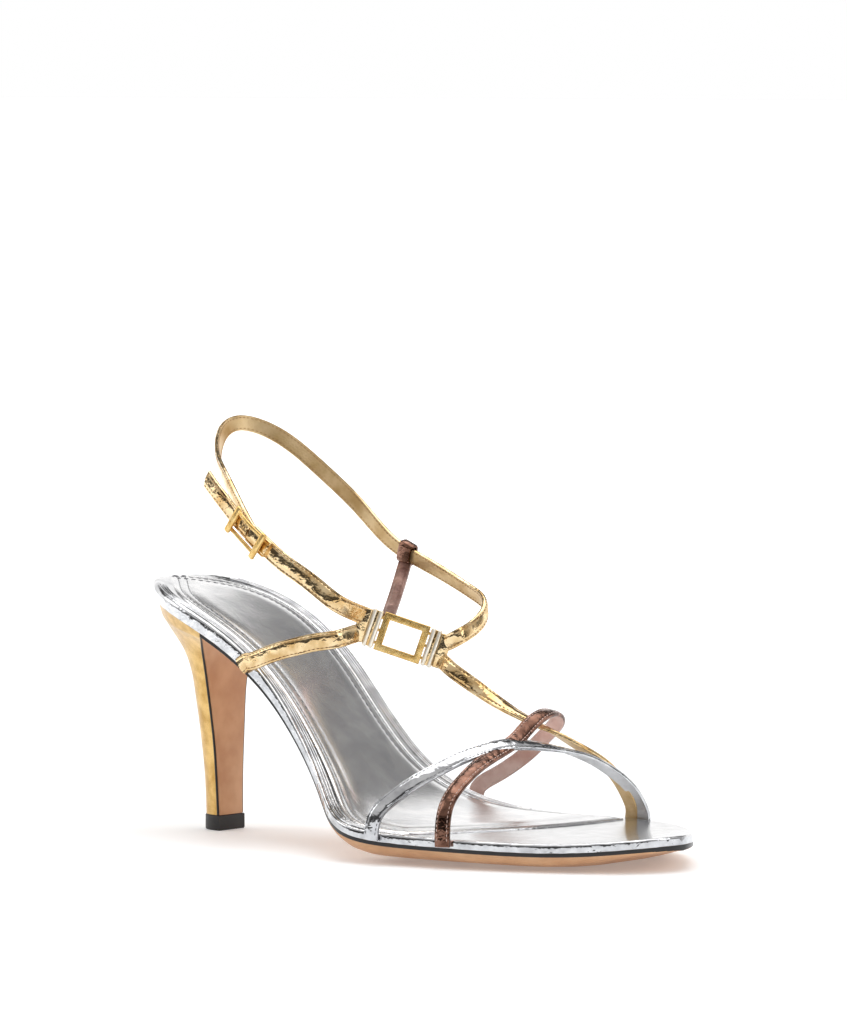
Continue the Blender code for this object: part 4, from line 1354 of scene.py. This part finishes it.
# %% Stitches on the straps
STRAP_STITCH = {"Pitch": 1.35 * MM, "Length": 0.95 * MM, "Thickness": 0.26 * MM}
gold_rows = stitch_rows(gold_path, GOLD_WIDTH, 1 * MM, 2 * MM)
gold_rows += stitch_rows(sling_path, SLING_WIDTH, 1 * MM, 6 * MM)
gold_rows += stitch_rows(buckle_path, SIDE_WIDTH, 1 * MM, 8 * MM)
gold_rows += stitch_rows(waist_path, SIDE_WIDTH, 1 * MM, 2 * MM)
gold_rows += stitch_rows(tail_path, SLING_WIDTH, 0.5 * MM, 0.8 * MM)
gold_rows += stitch_rows(sling_path, SLING_WIDTH, 20 * MM, 40 * MM, face=-1)
silver_rows = stitch_rows(silver_path, SILVER_WIDTH, 2 * MM, 2 * MM, SILVER_DOME)
bronze_rows = stitch_rows(bronze_path, BRONZE_WIDTH, 2 * MM, 2 * MM)
bronze_rows += stitch_rows(bronze_path, BRONZE_WIDTH, 60 * MM, 3 * MM, face=-1)
gold_stitches, silver_stitches, bronze_stitches = (
    along_paths(name, STITCHES, rows, thread, **STRAP_STITCH)
    for name, rows, thread in (
        ("gold_strap_stitches", gold_rows, gold_thread),
        ("silver_strap_stitches", silver_rows, silver_thread),
        ("bronze_strap_stitches", bronze_rows, bronze_thread),
    )
)
print("strap stitches:", len(gold_stitches.data.polygons) + len(silver_stitches.data.polygons))

# %% [markdown]
# Link and buckle
#
# Both are cast brass, plated in gold. The link's face is brushed, and the clamp bars
# beside it hold the folded strap ends. The clamp bars have almost no grain, and their
# near-white colour is a painted highlight. Castings have no sharp corner, so each bar is
# a block with soft edges, a few tenths of a millimetre round. The link's frame would show
# seams as four blocks, so it is one round-cornered section, swept round four mitred
# corners. The buckle's rails are swept too, and the upper one bows out.

# %% Link
FORK_LENGTH = 3.4 * MM
FORK_LIFT = 0.45 * MM


def add_bars(name, bars, material, bevel):
    """Blocks with soft edges, each given by its middle, its directions and its sizes."""
    build = bmesh.new()
    for centre, axes, sizes in bars:
        rounded_block(build, on_shoe(centre), axes, sizes, bevel)
    return finish_mesh(name, build, [material], 30)


def rounded_section(width, height, corner, steps=4):
    """A rectangle with round corners: across from 0 to width, its height about 0."""
    high = height / 2 - corner
    middles = ((width - corner, high), (corner, high), (corner, -high), (width - corner, -high))
    spots = []
    for k, (across, level) in enumerate(middles):
        for angle in np.linspace(0, math.pi / 2, steps + 1) + k * math.pi / 2:
            spots.append((across + corner * math.cos(angle), level + corner * math.sin(angle)))
    return spots


middle, run, drop, out = link_axes()
link_section = rounded_section(LINK_BAR, LINK_THICKNESS, 0.35 * MM)
link_rings = [
    [
        middle + run * a * (LINK_LENGTH / 2 - u) + drop * b * (LINK_WIDTH / 2 - u) + out * v
        for u, v in link_section
    ]
    for a, b in ((-1, -1), (1, -1), (1, 1), (-1, 1))
]
link_piece = loft("open_link", on_shoe(link_rings), [brushed_brass], closed=True)


def beside_link(reach, sizes, level=0.0, lift=0.0):
    """Two blocks in line with the link, one beyond each of its ends."""
    spots = [middle + run * side * (LINK_LENGTH / 2 + reach) for side in (-1, 1)]
    return [(spot + drop * level + out * lift, (run, drop, out), sizes) for spot in spots]


clamp_bars = []
for k in range(2):
    at = (k + 0.5) * CLAMP_WIDTH + (k + 1) * CLAMP_GAP
    clamp_bars += beside_link(at, (CLAMP_WIDTH, LINK_WIDTH, CLAMP_THICKNESS))
pins = []
for end in (-1, 0, 1):
    level = end * (LINK_WIDTH / 2 - LINK_BAR)
    at = (CLAMP_REACH - CLAMP_WIDTH) / 2
    pins += beside_link(at, (CLAMP_REACH, CLAMP_PIN, CLAMP_PIN), level)
fold_sizes = (2 * CLAMP_GAP, LINK_WIDTH - 0.8 * MM, CLAMP_THICKNESS - 0.3 * MM)
folds = beside_link(1.5 * CLAMP_GAP + CLAMP_WIDTH, fold_sizes)
fork_sizes = (FORK_LENGTH, LINK_WIDTH - 1.4 * MM, THICKNESS)
forks = beside_link(CLAMP_REACH + FORK_LENGTH / 2, fork_sizes, lift=FORK_LIFT)
# The clamp bars take the near-white brass, whose colour is a painted highlight.
clamps = add_bars("clamp_bars", clamp_bars, highlight_pale_brass, 0.7 * MM)
link_pins = add_bars("link_pins", pins, brushed_brass, 0.15 * MM)
clamp_folds = add_bars("clamped_leather", folds, gold_foil, 0.2 * MM)
strap_forks = add_bars("strap_forks", forks, gold_foil, 0.4 * MM)
print("link faces:", len(link_piece.data.polygons))

# %% Buckle
BUCKLE_SPAN = 12.8 * MM
BUCKLE_REACH = 9.2 * MM
BUCKLE_BAR = 2.1 * MM
BUCKLE_RAIL = 1.2 * MM
BUCKLE_THICKNESS = 1.3 * MM
RAIL_THICKNESS = 1.0 * MM
RAIL_BOW = 0.7 * MM
LOWER_RAIL_DROP = 1.0 * MM

middle, run, across, out = buckle_axes()
centre = middle + out * (LAYER_LIFT + THICKNESS / 2 + GAP + BUCKLE_THICKNESS / 2)
bar_sizes = (BUCKLE_BAR, BUCKLE_REACH, BUCKLE_THICKNESS)
buckle_bars = [
    (centre + run * BUCKLE_SPAN * s, (run, across, out), bar_sizes) for s in (-0.5, 0.5)
]
buckle_piece = add_bars("buckle_bars", buckle_bars, brushed_brass, 0.55 * MM)


def buckle_rail(name, side, level, arch):
    """A rail from bar to bar beside the straps, which may bow outward over them."""
    section = rounded_section(BUCKLE_RAIL, RAIL_THICKNESS, 0.4 * MM)
    rings = []
    for s in np.linspace(-0.5, 0.5, 15):
        spot = centre + run * BUCKLE_SPAN * s + out * (level + arch * (1 - 4 * s * s))
        rings.append([spot + across * side * (SIDE_WIDTH / 2 + u) + out * v for u, v in section])
    return loft(name, on_shoe(np.array(rings)), [brushed_brass])


upper_side = 1 if across[2] > 0 else -1
upper_rail = buckle_rail("buckle_upper_rail", upper_side, 0.0, RAIL_BOW)
lower_rail = buckle_rail("buckle_lower_rail", -upper_side, -LOWER_RAIL_DROP, 0.0)
print("buckle faces:", len(buckle_piece.data.polygons))

# %% [markdown]
# Everything rides on one body
#
# The shoe has no moving part, so each piece rides on the root body. A piece that stands
# for a solid of the construction replaces it.

# %% Rides and replacements
# material slot, the construction's node that the pieces replace, and the pieces
dressed = (
    ("silver_foil_leather", ("insole_board",), (foot_bed_piece,)),
    ("silver_satin_leather", ("sock",), (sock_piece,)),
    ("tan_sole_leather", ("outsole",), (sole_piece, breast_piece)),
    ("gold_foil_heel", ("heel",), (heel_piece,)),
    ("black_rubber", ("top_piece",), (top_piece,)),
    ("foil_leather_straps", ("upper",), (silver_strap, bronze_strap, gold_strap, sling, tail)),
    ("gold_foil_leather", ("side_strap",), (buckle_arm, fold, waist_arm)),
    ("bronze_foil_leather", ("keeper_strap",), (keeper_strap, sleeve)),
    ("gold_plated_brass", ("link",), (link_piece, clamps, link_pins)),
    ("gold_plated_brass", ("buckle",), (buckle_piece, upper_rail, lower_rail)),
    ("silver_satin_leather", (), (sock_stitches,)),
    ("silver_foil_leather", (), (piping,)),
    ("tan_sole_leather", (), (dark_lines,)),
    ("foil_leather_straps", (), (silver_stitches, gold_stitches, bronze_stitches)),
    ("gold_foil_leather", (), (clamp_folds, strap_forks)),
)
for slot, nodes, pieces in dressed:
    for piece in pieces:
        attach(piece, "root")
        if nodes:
            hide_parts(*nodes)
print("pieces:", sum(len(pieces) for _, _, pieces in dressed))

# %% [markdown]
# Floor, light and camera
#
# Mirror-like leather shows its surroundings, so the studio matters as much as the
# material. The shoe stands on a white floor in a bright room with large soft lights. The
# floor glows more with the distance, and so fades into the backdrop as a paper sweep
# does. The side where the photographer stands is darker, low down, and that dark band
# gives the foil its brown and grey patches. A grey flag high up behind the shoe darkens
# the arch of the sock.

# %% Floor
FLOOR_SIZE = 80.0


def soft_step(tree, value, low, high, start=0.0, end=1.0):
    """A value that goes softly from start to end while another goes from low to high."""
    inputs = {"Value": value, "From Min": low, "From Max": high, "To Min": start, "To Max": end}
    made = add_node(tree, "ShaderNodeMapRange", inputs, interpolation_type="SMOOTHSTEP")
    return made.outputs["Result"]


bpy.ops.mesh.primitive_plane_add(size=FLOOR_SIZE, location=(0, 0, -0.05 * MM))
floor = bpy.context.object
floor.name = "studio_floor"
floor_white, floor_tree, floor_shader = new_material("white_floor", "#F1F3F5", 0.0, 0.6)
floor_shader.inputs["Specular IOR Level"].default_value = 0.1
floor_shader.inputs["Emission Color"].default_value = (1.0, 1.0, 1.0, 1.0)
place = add_node(floor_tree, "ShaderNodeTexCoord").outputs["Object"]
far = add_node(floor_tree, "ShaderNodeVectorMath", {0: place}, operation="LENGTH")
glow = soft_step(floor_tree, far.outputs["Value"], 0.2, 1.4, 0.20, 0.90)
floor_tree.links.new(glow, floor_shader.inputs["Emission Strength"])
floor.data.materials.append(floor_white)
print("floor:", floor.name)

# %% Camera, at the photograph's angle
AZIMUTH = math.radians(40.0)
ELEVATION = math.radians(3.7)
TARGET = np.array((105.1, -0.9, 100.7)) * MM
DISTANCE = 2.0
FOCAL_PIXELS = 6768
PHOTO_WIDTH = 847

level = math.cos(ELEVATION)
back = (math.sin(AZIMUTH) * level, -math.cos(AZIMUTH) * level, math.sin(ELEVATION))
lens = bpy.data.cameras.new("photo_camera")
lens.sensor_fit = "HORIZONTAL"
lens.sensor_width = 36.0
lens.lens = FOCAL_PIXELS * lens.sensor_width / PHOTO_WIDTH
camera = new_object("photo_camera", lens)
camera.location = on_shoe(TARGET) + np.array(back) * DISTANCE
camera.rotation_euler = Vector(back).to_track_quat("Z", "Y").to_euler()
bpy.context.scene.camera = camera
print("camera lens:", round(lens.lens, 1), "mm")


# %% Soft lights
def softbox(name, place, size, power):
    data = bpy.data.lights.new(name, "AREA")
    data.shape = "RECTANGLE"
    data.size, data.size_y = size
    data.energy = power
    lamp = new_object(name, data)
    lamp.location = place
    lamp.rotation_euler = Vector(place).to_track_quat("Z", "Y").to_euler()
    return lamp


# place, size and power in watts of each lamp
SOFTBOXES = (
    ("overhead_softbox", (0.0, 0.2, 1.6), (1.8, 1.4), 15),
    ("left_softbox", (-1.5, -0.9, 1.0), (0.9, 1.2), 5),
    ("right_softbox", (1.7, 0.3, 0.9), (0.7, 1.2), 5),
)
lamps = [softbox(*row) for row in SOFTBOXES]
print("soft lights:", len(lamps))

# %% Studio surroundings
WALL = 0.65
WALL_BEHIND = 1.2
FLAG = 0.10
DARK_SIDE = 0.065

world = bpy.data.worlds.new("studio")
bpy.context.scene.world = world
world.use_nodes = True
sky = world.node_tree
sky.nodes.clear()
direction = add_node(sky, "ShaderNodeTexCoord").outputs["Generated"]
inputs = {0: direction, 1: (back[0], back[1], 0.0)}
dot = add_node(sky, "ShaderNodeVectorMath", inputs, operation="DOT_PRODUCT")
to_camera = dot.outputs["Value"]
height = add_node(sky, "ShaderNodeSeparateXYZ", {"Vector": direction}).outputs["Z"]


def times(first, second):
    return add_node(sky, "ShaderNodeMath", {0: first, 1: second}, operation="MULTIPLY").outputs[0]


def blend(share, start, end):
    """A grey radiance on the way from one to another, which are the inputs 2 and 3."""
    inputs = {"Factor": share, 2: start, 3: end}
    return add_node(sky, "ShaderNodeMix", inputs, data_type="FLOAT").outputs[0]


camera_side = soft_step(sky, to_camera, -0.35, 0.25)
below_lamps = soft_step(sky, height, 0.46, 0.26)
flag_band = times(soft_step(sky, height, 0.46, 0.56), soft_step(sky, height, 0.86, 0.72))
behind_side = soft_step(sky, to_camera, -0.15, -0.45)
walls = blend(behind_side, WALL, WALL_BEHIND)
flagged = blend(times(flag_band, behind_side), walls, FLAG)
radiance = blend(times(camera_side, below_lamps), flagged, DARK_SIDE)
inputs = {"Color": (1.0, 0.99, 0.98, 1.0), "Strength": radiance}
surroundings = add_node(sky, "ShaderNodeBackground", inputs)
inputs = {"Color": (1.0, 1.0, 1.0, 1.0), "Strength": 1.0}
backdrop = add_node(sky, "ShaderNodeBackground", inputs)
seen = add_node(sky, "ShaderNodeLightPath").outputs["Is Camera Ray"]
inputs = {0: seen, 1: surroundings.outputs[0], 2: backdrop.outputs[0]}
both = add_node(sky, "ShaderNodeMixShader", inputs)
add_node(sky, "ShaderNodeOutputWorld", {"Surface": both.outputs[0]})
bpy.context.scene.view_settings.view_transform = "Standard"
print("surroundings:", len(sky.nodes), "nodes")
